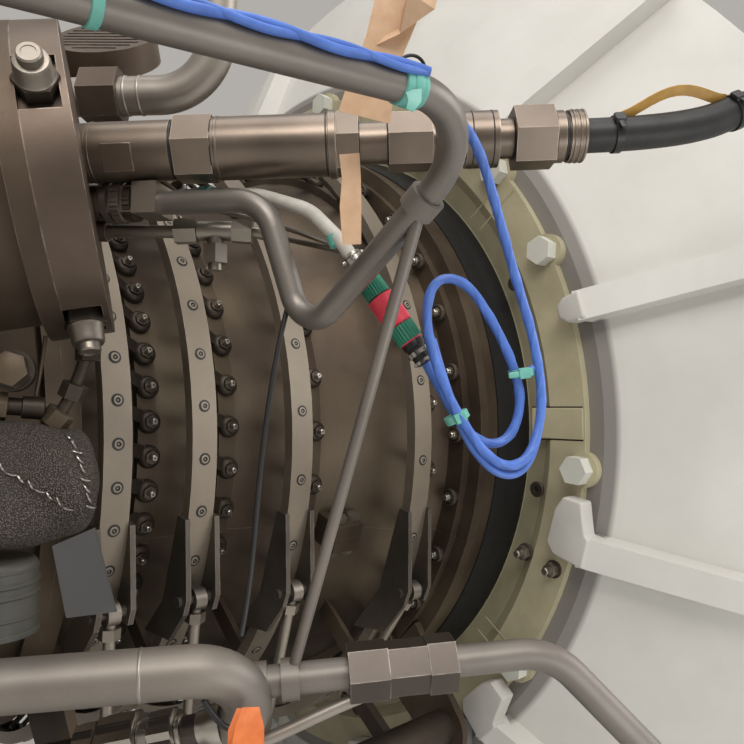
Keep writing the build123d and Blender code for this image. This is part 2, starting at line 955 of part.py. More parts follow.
cover_parts = []
for angle in can_angles:
    cover_parts.append(can_cover.part.moved(can_plane(angle).location))

with BuildPart() as combustor_covers:
    for part in cover_parts:
        add(part)
    add(rod_between(on_valve(-20), on_valve(10), 24))
    add(rod_between(block_seat - block_line * 18, block_seat, 15))
    add(rod_between(tee_seat - tee_line * 16, tee_seat, 9))
finish(combustor_covers.part, "combustor_covers")

with BuildPart() as cover_stud:
    with PolarLocations(can_cover_r - pocket_depth + 0.02, 4):
        for radius, height in ((stud_r, stud_length), (stud_nut_across / 2, stud_nut_t)):
            Cylinder(
                radius,
                height,
                rotation=(0, 90, 0),
                align=(Align.CENTER, Align.CENTER, Align.MIN),
            )

with BuildPart() as cover_studs:
    for angle in can_angles:
        middle = can_plane(angle).offset(pocket_length / 2)
        add(cover_stud.part.moved(middle.location))
finish(cover_studs.part, "cover_studs")

# Flexible seal between the compressor casing and the air intake
seal_rear_r = seal_seat_r + 0.2
with BuildPart() as seal_band:
    add(
        turned([
            (drum_front_x + 0.3, seal_rear_r),
            (drum_front_x + 0.3, seal_rear_r + seal_t),
            (drum_front_x + 30, seal_rear_r + seal_t + 3),
            (seal_front_x, seal_front_r),
            (seal_front_x, seal_front_r - seal_t),
            (drum_front_x + 30, seal_rear_r + 3),
        ])
    )
finish(seal_band.part, "seal_band")

# Intake casing: lobed flange, bell mouth, struts and the front bearing hub
bolt_angles = [intake_bolt_first + k * 360 / intake_bolt_count for k in range(intake_bolt_count)]
bolt_angles.append(40)
with BuildPart() as intake_casing:
    add(
        turned([
            (1096, 415),
            (1096, 480),
            (seal_front_x + 0.4, 490),
            (seal_front_x + 0.4, seal_front_r + 2),
            (intake_face_x + intake_flange_t, 545),
            (intake_face_x, 562),
            (intake_face_x, intake_edge_r),
            (intake_face_x + intake_flange_t, intake_edge_r),
            (intake_face_x + intake_flange_t, 575),
            (1125, 545),
            (mouth_x, 560),
            (mouth_x, 530),
            (1230, 460),
            (1160, 425),
        ])
    )
    for angle in bolt_angles:
        with Locations(station(intake_face_x + intake_flange_t)):
            with PolarLocations(intake_bolt_r, 1, angle):
                Cylinder(lobe_r, intake_flange_t, align=(Align.CENTER, Align.CENTER, Align.MIN))
    add(
        turned([
            (1090, 205),
            (mouth_x, 165),
            (mouth_x, 100),
            (front_bearing_x + bearing_w / 2, 100),
            (front_bearing_x + bearing_w / 2, bearing_r + journal_fit),
            (front_bearing_x - bearing_w / 2, bearing_r + journal_fit),
            (front_bearing_x - bearing_w / 2, 115),
            (1090, 150),
        ])
    )
    strut_middle = (strut_rear_x + strut_front_x) / 2
    with Locations(station(strut_middle)):
        with PolarLocations(332, strut_count, 30):
            Box(345, strut_t, strut_front_x - strut_rear_x)
finish(intake_casing.part, "intake_casing")

with BuildPart() as intake_bolts:
    for angle in bolt_angles:
        with BuildSketch(station(intake_face_x)):
            with PolarLocations(intake_bolt_r, 1, angle):
                RegularPolygon(intake_bolt_across / 2, 6, major_radius=False)
        extrude(amount=intake_bolt_head)
finish(intake_bolts.part, "intake_bolts")

# Intake wall: dished disc with radial ribs and a rim
wall_back = intake_face_x + intake_flange_t
bend_x = wall_back + wall_step
rim_x = bend_x + wall_slope * (wall_outer_r - wall_bend_r)
rib_inner_r = intake_bolt_r + lobe_r + 6
hose_foot = polar(rim_x + wall_rim / 2, wall_outer_r, hose_end_angle)
hose_rise = polar(0, cos(radians(hose_end_tilt)), hose_end_angle)
hose_out = hose_rise - Vector(sin(radians(hose_end_tilt)), 0, 0)
with BuildPart() as wall_rib:
    with BuildSketch(Plane.XZ.offset(-rib_t / 2)):
        with BuildLine():
            Polyline(
                (bend_x - rib_height + wall_slope * (rib_inner_r - wall_bend_r), rib_inner_r),
                (rim_x - rib_height, wall_outer_r - 4),
                (rim_x + wall_t / 2, wall_outer_r - 4),
                (bend_x + wall_t / 2, wall_bend_r),
                (wall_back + wall_t / 2, rib_inner_r),
                close=True,
            )
        make_face()
    extrude(amount=rib_t)

with BuildPart() as intake_wall:
    add(
        turned([
            (wall_back, wall_inner_r),
            (wall_back, wall_bend_r - 28),
            (bend_x, wall_bend_r),
            (rim_x, wall_outer_r),
            (rim_x + wall_rim, wall_outer_r),
            (rim_x + wall_rim, wall_outer_r - wall_t),
            (rim_x + wall_t, wall_outer_r - wall_t),
            (bend_x + wall_t, wall_bend_r - 4),
            (wall_back + wall_t, wall_bend_r - 34),
            (wall_back + wall_t, wall_inner_r),
        ])
    )
    for k in range(rib_count):
        add(on_axis(wall_rib.part, rib_first + k * 360 / rib_count - 90))
    add(
        rod_between(
            hose_foot - hose_out * wall_t / 2, hose_foot + hose_out * hose_seat_height, hose_seat_r
        )
    )
finish(intake_wall.part, "intake_wall")

# Fuel line: stepped body on the first can's cover, then the hose fitting
with BuildPart() as fuel_valve:
    add(valve_piece(10, 67, 24.5))
    add(valve_piece(77, 3, 22))
    add(hex_between(on_valve(80), on_valve(111), 49))
    add(valve_piece(111, 95, 25.5))
    add(valve_piece(206, 6, 27))
    add(hex_between(on_valve(212), on_valve(230), 47))
    add(valve_piece(230, 24, 17))
    add(valve_piece(290, 27, 15))
    add(hex_between(on_valve(254), on_valve(290), 43))
finish(fuel_valve.part, "fuel_valve")

with BuildPart() as hose_fitting:
    add(valve_piece(317, 27, 23))
    add(valve_piece(344, 13, 16))
    add(hex_between(on_valve(357), on_valve(390), 46))
    add(valve_piece(390, 8, 21))
    add(valve_piece(398, 4, 18.5))
    add(valve_piece(402, 13, 21))
finish(hose_fitting.part, "hose_fitting")

# Fuel hose: hangs in a free bend from the fitting to a union on the wall's rim
hose_end = hose_foot + hose_out * (hose_seat_height + hose_union_length)
hose_points = [
    on_valve(415),
    on_valve(498),
    Vector(826, -934, 300),
    Vector(893, -982, 328),
    Vector(975, -1018, 372),
    Vector(1065, -1035, 428),
    hose_end + hose_out * 120,
    hose_end,
]
hose_radii = arc_radii(hose_points)
print("fuel hose radii", [round(radius) for radius in hose_radii])
fuel_hose_part = bent_tube(hose_points, hose_radii, hose_r)
finish(fuel_hose_part, "fuel_hose")

union_foot = hose_foot + hose_out * hose_seat_height
with BuildPart() as hose_union:
    add(rod_between(union_foot, union_foot + hose_out * 10, 16))
    add(hex_between(union_foot + hose_out * 10, union_foot + hose_out * 28, 40))
    add(rod_between(union_foot + hose_out * 28, hose_end, 18))
finish(hose_union.part, "hose_union")

# Balance pipe: from its union on the first can, over the fuel line, down and back to the block
finish(bent_tube(balance_points, balance_radii, balance_pipe_r), "balance_pipe")

with BuildPart() as balance_union:
    add(rod_between(balance_seat, balance_seat + balance_out * 8, 13))
    add(hex_between(balance_seat + balance_out * 8, balance_points[0], 28))
finish(balance_union.part, "balance_union")

# Block on the cover that takes the balance pipe and the signal line, and the tee beside it
signal_end = Vector(538, -751, 160)
sleeve_points = [
    Vector(466.4, -597.2, 222),
    Vector(488, -620, 225),
    Vector(513, -664, 220),
    Vector(531, -708, 203),
    Vector(536, -739, 175),
    signal_end,
]
sleeve_r = 5.5
block_plane = Plane(origin=block_seat, x_dir=(0, 0, 1), z_dir=block_line)
with BuildPart() as pressure_block:
    with BuildSketch(block_plane):
        Rectangle(22, 26)
    extrude(amount=34)
    with BuildSketch(block_plane.offset(34)):
        with Locations((0, 1)):
            Rectangle(26, 34)
    extrude(amount=(balance_points[-1] - block_seat).dot(block_line) - 34)
    add(rod_between(balance_points[-1], balance_points[-2], balance_pipe_r + line_fit), mode=Mode.SUBTRACT)
    add(rod_between(sleeve_points[0], sleeve_points[1], sleeve_r + line_fit), mode=Mode.SUBTRACT)
finish(pressure_block.part, "pressure_block")

tee_points = [tee_seat, tee_stem_end, Vector(489, -605.5, 195.5), Vector(512, -624.5, 196)]
tee_tip = Vector(525, -635.5, 195)
tee_nose = Vector(537, -647.5, 192)
tee_middle = (tee_points[2] + tee_points[3]) * 0.5
with BuildPart() as tee_fitting:
    add(rod_between(tee_points[0], tee_points[1], 5.5))
    add(hex_between(tee_points[1], tee_points[2], 20))
    add(rod_between(tee_points[2], tee_points[3], 8.5))
    add(hex_between(tee_points[3], tee_tip, 19))
    add(rod_between(tee_tip, tee_nose, 5))
    add(rod_between(tee_middle, tee_middle - Vector(0, 0, 12), 7))
    add(hex_between(tee_middle - Vector(0, 0, 12), tee_middle - Vector(0, 0, 28), 20))
    add(rod_between(tee_middle - Vector(0, 0, 28), tee_middle - Vector(0, 0, 34), 6))
    add(rod_between(tee_nose, signal_end + Vector(4, 14, 7), 2.5))
finish(tee_fitting.part, "tee_fitting")

# Signal line: white sleeve from the block, then the plug of the sensor cable in line with it
sleeve_part = bent_tube(sleeve_points, [30, 50, 50, 60], sleeve_r)
finish(sleeve_part, "signal_sleeve")

cable_start = Vector(575, -793, 80)
plug_line = (cable_start - signal_end).normalized()
plug_length = (cable_start - signal_end).length


def plug_piece(start, end, radius):
    """One round step of the plug, by its distance from the sleeve's end."""
    return rod_between(signal_end + plug_line * start, signal_end + plug_line * end, radius)


with BuildPart() as sensor_plug:
    add(plug_piece(0, 24, 7))
    add(plug_piece(24, 38, 8.5))
    add(plug_piece(38, 63, 10.5))
    add(plug_piece(63, 79, 9))
    add(plug_piece(79, plug_length, 7))
    add(rod_between(sleeve_points[-2], signal_end, sleeve_r + line_fit), mode=Mode.SUBTRACT)
finish(sensor_plug.part, "sensor_plug")

# Sensor cable: two hanging loops, then along the top of the balance pipe into its box
cable_points = [
    cable_start,
    Vector(588, -811, 37),
    Vector(603, -826, 17),
    Vector(620, -838, 22),
    Vector(629, -842, 50),
    Vector(621, -839, 80),
    Vector(608, -831, 110),
    Vector(592, -819, 140),
    Vector(573, -806, 143),
    Vector(562, -804, 118),
    Vector(563, -812, 80),
    Vector(574, -824, 42),
    Vector(594, -842, 4),
    Vector(622, -852, 4),
    Vector(640, -854, 45),
    Vector(634, -850, 95),
    Vector(618, -845, 140),
    Vector(600, -843, 185),
    Vector(578, -846, 222),
    Vector(552, -852, 240),
    Vector(515, -860, 234),
    Vector(465, -884, 239),
    Vector(400, -880, 236),
    Vector(320, -871, 233.5),
    Vector(282, -868, 236),
    Vector(245, -867, 238.5),
]
cable_r = 3.5


cable_radii = arc_radii(cable_points)
print("sensor cable radii", [round(radius) for radius in cable_radii])
cable_part = bent_tube(cable_points, cable_radii, cable_r)
finish(cable_part, "sensor_cable")

box_centre = Vector(222, -869.9, 217.1)
with BuildPart() as cable_box:
    with Locations(box_centre + Vector(0, 0, balance_pipe_r + 1)):
        Box(46, 32, 26, align=(Align.CENTER, Align.CENTER, Align.MIN))
    run_line = (balance_points[2] - balance_points[1]).normalized()
    add(rod_between(box_centre - run_line * 12, box_centre + run_line * 12, 15))
    add(
        rod_between(
            box_centre - run_line * 30,
            box_centre + run_line * 30,
            balance_pipe_r + pipe_fit,
        ),
        mode=Mode.SUBTRACT,
    )
finish(cable_box.part, "cable_box")

# Bleed pipe: from the casing's cone out behind the can, up and back to the drum, with its nut
finish(bent_tube(bleed_points, bleed_radii, bleed_pipe_r), "bleed_pipe")

with BuildPart() as bleed_nut:
    add(hex_between(bleed_points[0] + bleed_out * 158, bleed_points[0] + bleed_out * 196, 49))
    add(
        rod_between(
            bleed_points[0] + bleed_out * 150,
            bleed_points[0] + bleed_out * 200,
            bleed_pipe_r + pipe_fit,
        ),
        mode=Mode.SUBTRACT,
    )
finish(bleed_nut.part, "bleed_nut")

# Drain pipe beside the cans, down to the base, with the stub that takes the return pipe
with BuildPart() as drain_pipe:
    add(bent_tube(drain_points, drain_radii, drain_pipe_r))
    add(rod_between(return_points[0] - return_out * seat_depth, return_points[0], 16))
    add(rod_between(drain_points[-1], drain_points[-1] + Vector(0, 0, 10), 32))
finish(drain_pipe.part, "drain_pipe")

# Return pipe with its union, down to the side of the base
with BuildPart() as return_pipe:
    add(bent_tube(return_points, return_radii, return_pipe_r))
    add(rod_between(return_points[-1] - Vector(0, 22, 0), return_points[-1], 20))
    add(drain_pipe.part, mode=Mode.SUBTRACT)
finish(return_pipe.part, "return_pipe")

# Branch line on the drain pipe: its foot is cut flat along the pipe, its far end ends at the drum
drain_run = (drain_points[4] - drain_points[3]).normalized()
branch_lift = (branch_run - drain_run * branch_run.dot(drain_run)).normalized()
if branch_lift.dot(branch_start - branch_end) < 0:
    branch_lift = -branch_lift
branch_seat = Plane(
    origin=branch_end + branch_lift * (drain_pipe_r + line_fit),
    z_dir=branch_lift,
)
with BuildPart() as branch_rod:
    add(rod_between(branch_start, branch_end, branch_r))
    split(bisect_by=branch_seat, keep=Keep.TOP)
    add(
        rod_between(Vector(rear_flange_t, 0, 0), Vector(drum_front, 0, 0), drum_r + line_fit),
        mode=Mode.SUBTRACT,
    )

with BuildPart() as pipe_union:
    for start, end, across in ((64, 96, 41), (96, 128, 38), (128, 151, 41)):
        add(
            hex_between(
                return_points[0] + return_out * start,
                return_points[0] + return_out * end,
                across,
            )
        )
    for start, end, across in ((52, 70, 34), (82, 112, 40), (116, 132, 36)):
        add(
            hex_between(branch_end + branch_run * start, branch_end + branch_run * end, across)
        )
    add(rod_between(branch_end + branch_run * 52, branch_end + branch_run * 132, 16))
    add(branch_rod.part)
    add(
        rod_between(
            return_points[0] + return_out * 50,
            return_points[0] + return_out * 160,
            return_pipe_r + pipe_fit,
        ),
        mode=Mode.SUBTRACT,
    )
finish(pipe_union.part, "pipe_union")

# Brace rod clipped between the balance pipe and the return pipe
brace_top = balance_points[2] + (balance_points[3] - balance_points[2]) * 0.34
brace_run = (balance_points[3] - balance_points[2]).normalized()
brace_foot = return_points[0] + return_out * 18
brace_line = (brace_foot - brace_top).normalized()
with BuildPart() as brace_rod:
    add(rod_between(brace_top + brace_line * 10, brace_foot - brace_line * 14, 4.5))
    add(rod_between(brace_top - brace_run * 7, brace_top + brace_run * 7, 13))
    add(rod_between(brace_foot - return_out * 7, brace_foot + return_out * 7, 16.5))
    add(
        rod_between(
            brace_top - brace_run * 9, brace_top + brace_run * 32, balance_pipe_r + pipe_fit
        ),
        mode=Mode.SUBTRACT,
    )
    add(
        rod_between(
            brace_foot - return_out * 9, brace_foot + return_out * 9, return_pipe_r + pipe_fit
        ),
        mode=Mode.SUBTRACT,
    )
finish(brace_rod.part, "brace_rod")

# Vent: a slotted cap on its neck, standing on the centre casing's cone
vent_plane = Plane(origin=vent_centre, x_dir=(0.7, -0.7, 0), z_dir=vent_facing)
with BuildPart() as vent_cap:
    add(rod_between(vent_foot + vent_rise * vent_seat, vent_back + vent_rise * 5, vent_neck_r))
    with Locations(vent_plane):
        Cylinder(vent_r, vent_t, align=(Align.CENTER, Align.CENTER, Align.MAX))
    for step in range(-4, 5):
        shift = step * 10
        with BuildSketch(vent_plane):
            with Locations((0, shift)):
                Rectangle(2 * sqrt((vent_r - 8) ** 2 - shift**2), 4)
        extrude(amount=-5, mode=Mode.SUBTRACT)
finish(vent_cap.part, "vent_cap")

# Insulated valve under its jacket beside the cone, and the small canister below it
jacket_rear = Vector(290, -560, -12)
jacket_front = Vector(408, -588, -12)
canister_axis = Vector(335, -578, 0)
with BuildPart() as insulation_jacket:
    add(rod_between(jacket_rear, jacket_front, 42))
    fillet(insulation_jacket.edges().filter_by(GeomType.CIRCLE), 16)
    add(rod_between(jacket_foot, Vector(350, -560, -10), 18))
    add(rod_between(canister_axis + Vector(0, 0, -30), canister_axis + Vector(0, 0, -66), 12))
finish(insulation_jacket.part, "insulation_jacket")

with BuildPart() as canister:
    add(rod_between(canister_axis + Vector(0, 0, -66), canister_axis + Vector(0, 0, -122), 32))
    fillet(canister.edges().filter_by(GeomType.CIRCLE), 6)
finish(canister.part, "canister")

# Base frame, front and rear supports
with BuildPart() as base_frame:
    beam_length = beam_front_x - beam_rear_x
    with Locations((beam_rear_x + beam_length / 2, 0, floor_z)):
        with GridLocations(1, 2 * beam_y, 1, 2):
            Box(
                beam_length,
                beam_width,
                beam_height,
                align=(Align.CENTER, Align.CENTER, Align.MIN),
            )
    for cross_x in (cross_beam_rear_x, cross_beam_front_x):
        with Locations((cross_x, 0, floor_z)):
            Box(
                cross_beam_w,
                2 * beam_y,
                beam_height - 20,
                align=(Align.CENTER, Align.CENTER, Align.MIN),
            )
finish(base_frame.part, "base_frame")

beam_top = floor_z + beam_height


def support(face_x, top_z, clear_r, back):
    """Pair of posts from the beams to a flange face."""
    with BuildPart() as posts:
        with BuildSketch(station(face_x)):
            for side in (-1, 1):
                with Locations((side * beam_y, beam_top)):
                    Rectangle(beam_width, top_z - beam_top, align=(Align.CENTER, Align.MIN))
            Circle(clear_r, mode=Mode.SUBTRACT)
        extrude(amount=back * support_t)
    return posts.part


with BuildPart() as rear_support:
    add(support(rear_flange_t, rear_support_top, drum_r + 0.3, -1))
finish(rear_support.part, "rear_support")

with BuildPart() as front_support:
    add(support(intake_face_x, front_support_top, front_support_clear_r, 1))
    for angle in bolt_angles:
        with Locations(station(intake_face_x)):
            with PolarLocations(intake_bolt_r, 1, angle):
                Cylinder(bolt_access_r, 3 * support_t, mode=Mode.SUBTRACT)
finish(front_support.part, "front_support")
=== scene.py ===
"""Looks of the compressor section: materials, small hardware, cords and trim round the CAD frame."""
import random
from math import cos, pi, radians, sin, sqrt

import bpy
from mathutils import Matrix, Vector


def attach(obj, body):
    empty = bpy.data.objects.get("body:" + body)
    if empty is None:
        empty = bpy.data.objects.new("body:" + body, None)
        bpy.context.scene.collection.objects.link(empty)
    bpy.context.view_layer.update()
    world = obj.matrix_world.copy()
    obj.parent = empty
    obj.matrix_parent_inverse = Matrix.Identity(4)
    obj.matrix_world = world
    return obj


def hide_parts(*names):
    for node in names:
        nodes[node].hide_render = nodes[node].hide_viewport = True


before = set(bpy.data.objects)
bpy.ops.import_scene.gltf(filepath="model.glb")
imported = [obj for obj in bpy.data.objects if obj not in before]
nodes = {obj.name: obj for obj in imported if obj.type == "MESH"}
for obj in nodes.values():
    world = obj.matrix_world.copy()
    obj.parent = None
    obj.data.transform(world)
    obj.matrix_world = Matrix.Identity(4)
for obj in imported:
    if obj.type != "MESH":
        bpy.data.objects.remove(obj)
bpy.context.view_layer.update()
MM = 0.001
scene = bpy.context.scene
random.seed(7)


# ---- camera, fitted to the photograph; metres, millimetres of film and degrees
CAMERA_PLACE = (0.1611, -1.1794, 0.0605)
CAMERA_YAW = 42.876
CAMERA_PITCH = 1.2185
FOCAL_LENGTH = 36.297
FILM_WIDTH = 36.0
CLIP_NEAR = 0.01
CLIP_FAR = 60.0


def place_camera():
    data = bpy.data.cameras.new("camera")
    data.sensor_width = FILM_WIDTH
    data.lens = FOCAL_LENGTH
    data.clip_start = CLIP_NEAR
    data.clip_end = CLIP_FAR
    camera = bpy.data.objects.new("camera", data)
    scene.collection.objects.link(camera)
    yaw = radians(CAMERA_YAW)
    pitch = radians(CAMERA_PITCH)
    forward = Vector((sin(yaw) * cos(pitch), cos(yaw) * cos(pitch), sin(pitch)))
    right = Vector((cos(yaw), -sin(yaw), 0))
    up = right.cross(forward)
    matrix = Matrix((right, up, -forward)).transposed().to_4x4()
    matrix.translation = Vector(CAMERA_PLACE)
    camera.matrix_world = matrix
    scene.camera = camera


# ---- shader helpers; lengths in metres
EDGE_RADIUS = 0.0013
SCRATCH_DEPTH = 0.00006
PEEL_DEPTH = 0.00004
MOULD_DEPTH = 0.00005
# radius and station of the wall's inner band that is painted grey as shade
WALL_SHADE_RADIUS = (0.653, 0.661)
WALL_SHADE_FRONT = (1.094, 1.090)


class Shader:
    """A principled material that is built up from object-space textures."""

    def __init__(self, name, metallic=0.0, specular=0.5):
        self.material = bpy.data.materials.new(name)
        self.material.use_nodes = True
        self.tree = self.material.node_tree
        self.principled = self.tree.nodes["Principled BSDF"]
        self.principled.inputs["Metallic"].default_value = metallic
        self.principled.inputs["Specular IOR Level"].default_value = specular
        coordinates = self.new("ShaderNodeTexCoord")
        self.point = coordinates.outputs["Object"]
        self.height = None

    def new(self, kind, **values):
        node = self.tree.nodes.new(kind)
        for key, value in values.items():
            setattr(node, key, value)
        return node

    def link(self, source, target):
        self.tree.links.new(source, target)

    def math(self, operation, a, b=None):
        node = self.new("ShaderNodeMath", operation=operation)
        for socket, value in zip(node.inputs, (a, b)):
            if value is None:
                continue
            if isinstance(value, (int, float)):
                socket.default_value = value
            else:
                self.link(value, socket)
        return node.outputs[0]

    def scaled(self, scale):
        node = self.new("ShaderNodeMapping")
        node.inputs["Scale"].default_value = scale
        self.link(self.point, node.inputs["Vector"])
        return node.outputs[0]

    def round_axis(self, scale):
        """Scaled coordinates (x, radius) about the turbine axis, for turned surfaces."""
        split = self.new("ShaderNodeSeparateXYZ")
        self.link(self.point, split.inputs[0])
        y2 = self.math("MULTIPLY", split.outputs[1], split.outputs[1])
        z2 = self.math("MULTIPLY", split.outputs[2], split.outputs[2])
        radius = self.math("SQRT", self.math("ADD", y2, z2))
        join = self.new("ShaderNodeCombineXYZ")
        self.link(self.math("MULTIPLY", split.outputs[0], scale), join.inputs[0])
        self.link(self.math("MULTIPLY", radius, scale), join.inputs[1])
        return join.outputs[0]

    def noise(self, vector, detail=4.0, rough=0.55):
        node = self.new("ShaderNodeTexNoise")
        node.inputs["Scale"].default_value = 1.0
        node.inputs["Detail"].default_value = detail
        node.inputs["Roughness"].default_value = rough
        self.link(vector, node.inputs["Vector"])
        return node.outputs["Fac"]

    def grain(self, scale, detail=4.0, rough=0.55):
        """Noise with the same scale along all three axes."""
        return self.noise(self.scaled((scale, scale, scale)), detail, rough)

    def span(self, source, start, stop):
        """From 0 to 1 between two values, which may fall."""
        node = self.new("ShaderNodeMapRange")
        node.inputs["From Min"].default_value = start
        node.inputs["From Max"].default_value = stop
        self.link(source, node.inputs["Value"])
        return node.outputs[0]

    def ramp(self, factor, start, stop, low=0.0, high=1.0):
        """Grey that goes from low to high between two values of a factor."""
        node = self.new("ShaderNodeValToRGB")
        for element, position, value in zip(node.color_ramp.elements, (start, stop), (low, high)):
            element.position = position
            element.color = (value, value, value, 1.0)
        self.link(factor, node.inputs[0])
        return node.outputs[0]

    def mix(self, factor, a, b):
        node = self.new("ShaderNodeMix", data_type="RGBA")
        for socket, value in ((node.inputs[0], factor), (node.inputs[6], a), (node.inputs[7], b)):
            if isinstance(value, tuple):
                socket.default_value = (*value, 1.0)
            else:
                self.link(value, socket)
        return node.outputs[2]

    def colour(self, source):
        if isinstance(source, tuple):
            self.principled.inputs["Base Color"].default_value = (*source, 1.0)
        else:
            self.link(source, self.principled.inputs["Base Color"])

    def roughness(self, source, low=None, high=None):
        if isinstance(source, (int, float)):
            self.principled.inputs["Roughness"].default_value = source
            return
        node = self.new("ShaderNodeMapRange")
        node.inputs["To Min"].default_value = low
        node.inputs["To Max"].default_value = high
        self.link(source, node.inputs["Value"])
        self.link(node.outputs[0], self.principled.inputs["Roughness"])

    def edge_wear_and_highlight(self, amount):
        """Painted edge highlight on rubbed wear: bright where an edge is sharp, broken up by noise."""
        bevel = self.new("ShaderNodeBevel", samples=4)
        bevel.inputs["Radius"].default_value = EDGE_RADIUS
        geometry = self.new("ShaderNodeNewGeometry")
        product = self.new("ShaderNodeVectorMath", operation="DOT_PRODUCT")
        self.link(bevel.outputs[0], product.inputs[0])
        self.link(geometry.outputs["Normal"], product.inputs[1])
        turn = self.math("SUBTRACT", 1.0, product.outputs["Value"])
        edge = self.ramp(turn, 0.015, 0.16)
        edge_patches = self.ramp(self.grain(70), 0.36, 0.6, high=amount)
        return self.math("MULTIPLY", edge, edge_patches)

    def bump(self, source, distance, strength):
        node = self.new("ShaderNodeBump")
        node.inputs["Distance"].default_value = distance
        node.inputs["Strength"].default_value = strength
        self.link(source, node.inputs["Height"])
        if self.height is not None:
            self.link(self.height, node.inputs["Normal"])
        self.height = node.outputs[0]
        self.link(self.height, self.principled.inputs["Normal"])


def worn_metal(name, light, dark, rough, turned=False, metallic=0.85, grain=900, tint=None, wear_and_highlight=0.0):
    """Machined or drawn metal: blotches, fine grain, small scratches, rubbed edges with a painted edge
    highlight.
    """
    shader = Shader(name, metallic=metallic)
    blotch = shader.grain(9, detail=5)
    if turned:
        lines = shader.noise(shader.round_axis(grain), detail=3)
    else:
        lines = shader.noise(shader.scaled((grain * 0.2, grain, grain)), detail=3)
    speck = shader.grain(260, detail=6, rough=0.7)
    base = shader.mix(shader.ramp(blotch, 0.32, 0.68), dark, light)
    if tint is not None:
        patch = shader.grain(4.5, detail=2)
        base = shader.mix(shader.ramp(patch, 0.5, 0.72, high=0.75), base, tint)
    base = shader.mix(shader.ramp(lines, 0.3, 0.75, high=0.22), base, dark)
    base = shader.mix(shader.ramp(speck, 0.60, 0.78, high=0.5), base, dark)
    if wear_and_highlight > 0:
        # edges lightened both as rubbed wear and as a painted highlight
        rubbed_and_highlit = tuple(min(1.0, 1.9 * value + 0.12) for value in light)
        base = shader.mix(shader.edge_wear_and_highlight(wear_and_highlight), base, rubbed_and_highlit)
    shader.colour(base)
    gloss = shader.math("ADD", blotch, shader.math("MULTIPLY", speck, 0.4))
    shader.roughness(gloss, *rough)
    shader.bump(lines, SCRATCH_DEPTH, 0.35)
    shader.bump(speck, SCRATCH_DEPTH * 1.5, 0.3)
    return shader.material


def paint(name, light, dark, rough, chips=None):
    """Painted metal with faint dirt and orange peel."""
    shader = Shader(name, specular=0.4)
    dirt = shader.grain(7, detail=8, rough=0.62)
    base = shader.mix(shader.ramp(dirt, 0.38, 0.75), light, dark)
    if chips is not None:
        chip = shader.grain(60, detail=9, rough=0.75)
        base = shader.mix(shader.ramp(chip, 0.70, 0.73, high=0.8), base, chips)
    shader.colour(base)
    shader.roughness(dirt, *rough)
    shader.bump(shader.grain(420, detail=2), PEEL_DEPTH, 0.4)
    return shader.material


def plastic(name, light, dark, rough):
    """Plastic, rubber or paper with a faint mottle."""
    shader = Shader(name)
    mottle = shader.grain(80, detail=5)
    shader.colour(shader.mix(shader.ramp(mottle, 0.35, 0.7), light, dark))
    shader.roughness(mottle, *rough)
    shader.bump(shader.grain(1500, detail=2), MOULD_DEPTH, 0.4)
    return shader.material


def knit():
    """Wire mesh: small cells with a metal sheen on a folded cloth."""
    shader = Shader("wire_knit", metallic=0.55)
    cells = shader.new("ShaderNodeTexVoronoi")
    cells.inputs["Scale"].default_value = 720
    cells.inputs["Randomness"].default_value = 0.85
    shader.link(shader.point, cells.inputs["Vector"])
    weave = shader.ramp(cells.outputs["Distance"], 0.12, 0.75, 1.0, 0.0)
    folds = shader.grain(18, detail=5)
    threads = shader.ramp(weave, 0.35, 0.9)
    base = shader.mix(threads, (0.055, 0.046, 0.040), (0.235, 0.200, 0.170))
    shade = shader.ramp(folds, 0.35, 0.75, high=0.55)
    shader.colour(shader.mix(shade, base, (0.06, 0.052, 0.046)))
    shader.roughness(weave, 0.7, 0.42)
    shader.bump(folds, 0.010, 0.8)
    shader.bump(weave, 0.0012, 0.9)
    return shader.material


def wall_paint():
    """Off-white outside the bend, with painted shade: the flat band inside it is grey."""
    shader = Shader("wall_paint", specular=0.4)
    turned = shader.new("ShaderNodeSeparateXYZ")
    shader.link(shader.round_axis(1.0), turned.inputs[0])
    past_shade_radius = shader.span(turned.outputs[1], *WALL_SHADE_RADIUS)
    before = shader.span(turned.outputs[0], *WALL_SHADE_FRONT)
    dirt = shader.grain(5, detail=7, rough=0.6)
    dirty = shader.ramp(dirt, 0.38, 0.75)
    white = shader.mix(dirty, (0.63, 0.615, 0.575), (0.55, 0.535, 0.495))
    out_of_shade = shader.math("MAXIMUM", past_shade_radius, before)
    # painted shade: grey on the inner band, off-white paint elsewhere
    shader.colour(shader.mix(out_of_shade, (0.215, 0.200, 0.182), white))
    shader.roughness(dirt, 0.42, 0.52)
    shader.bump(shader.grain(420, detail=2), PEEL_DEPTH, 0.4)
    return shader.material


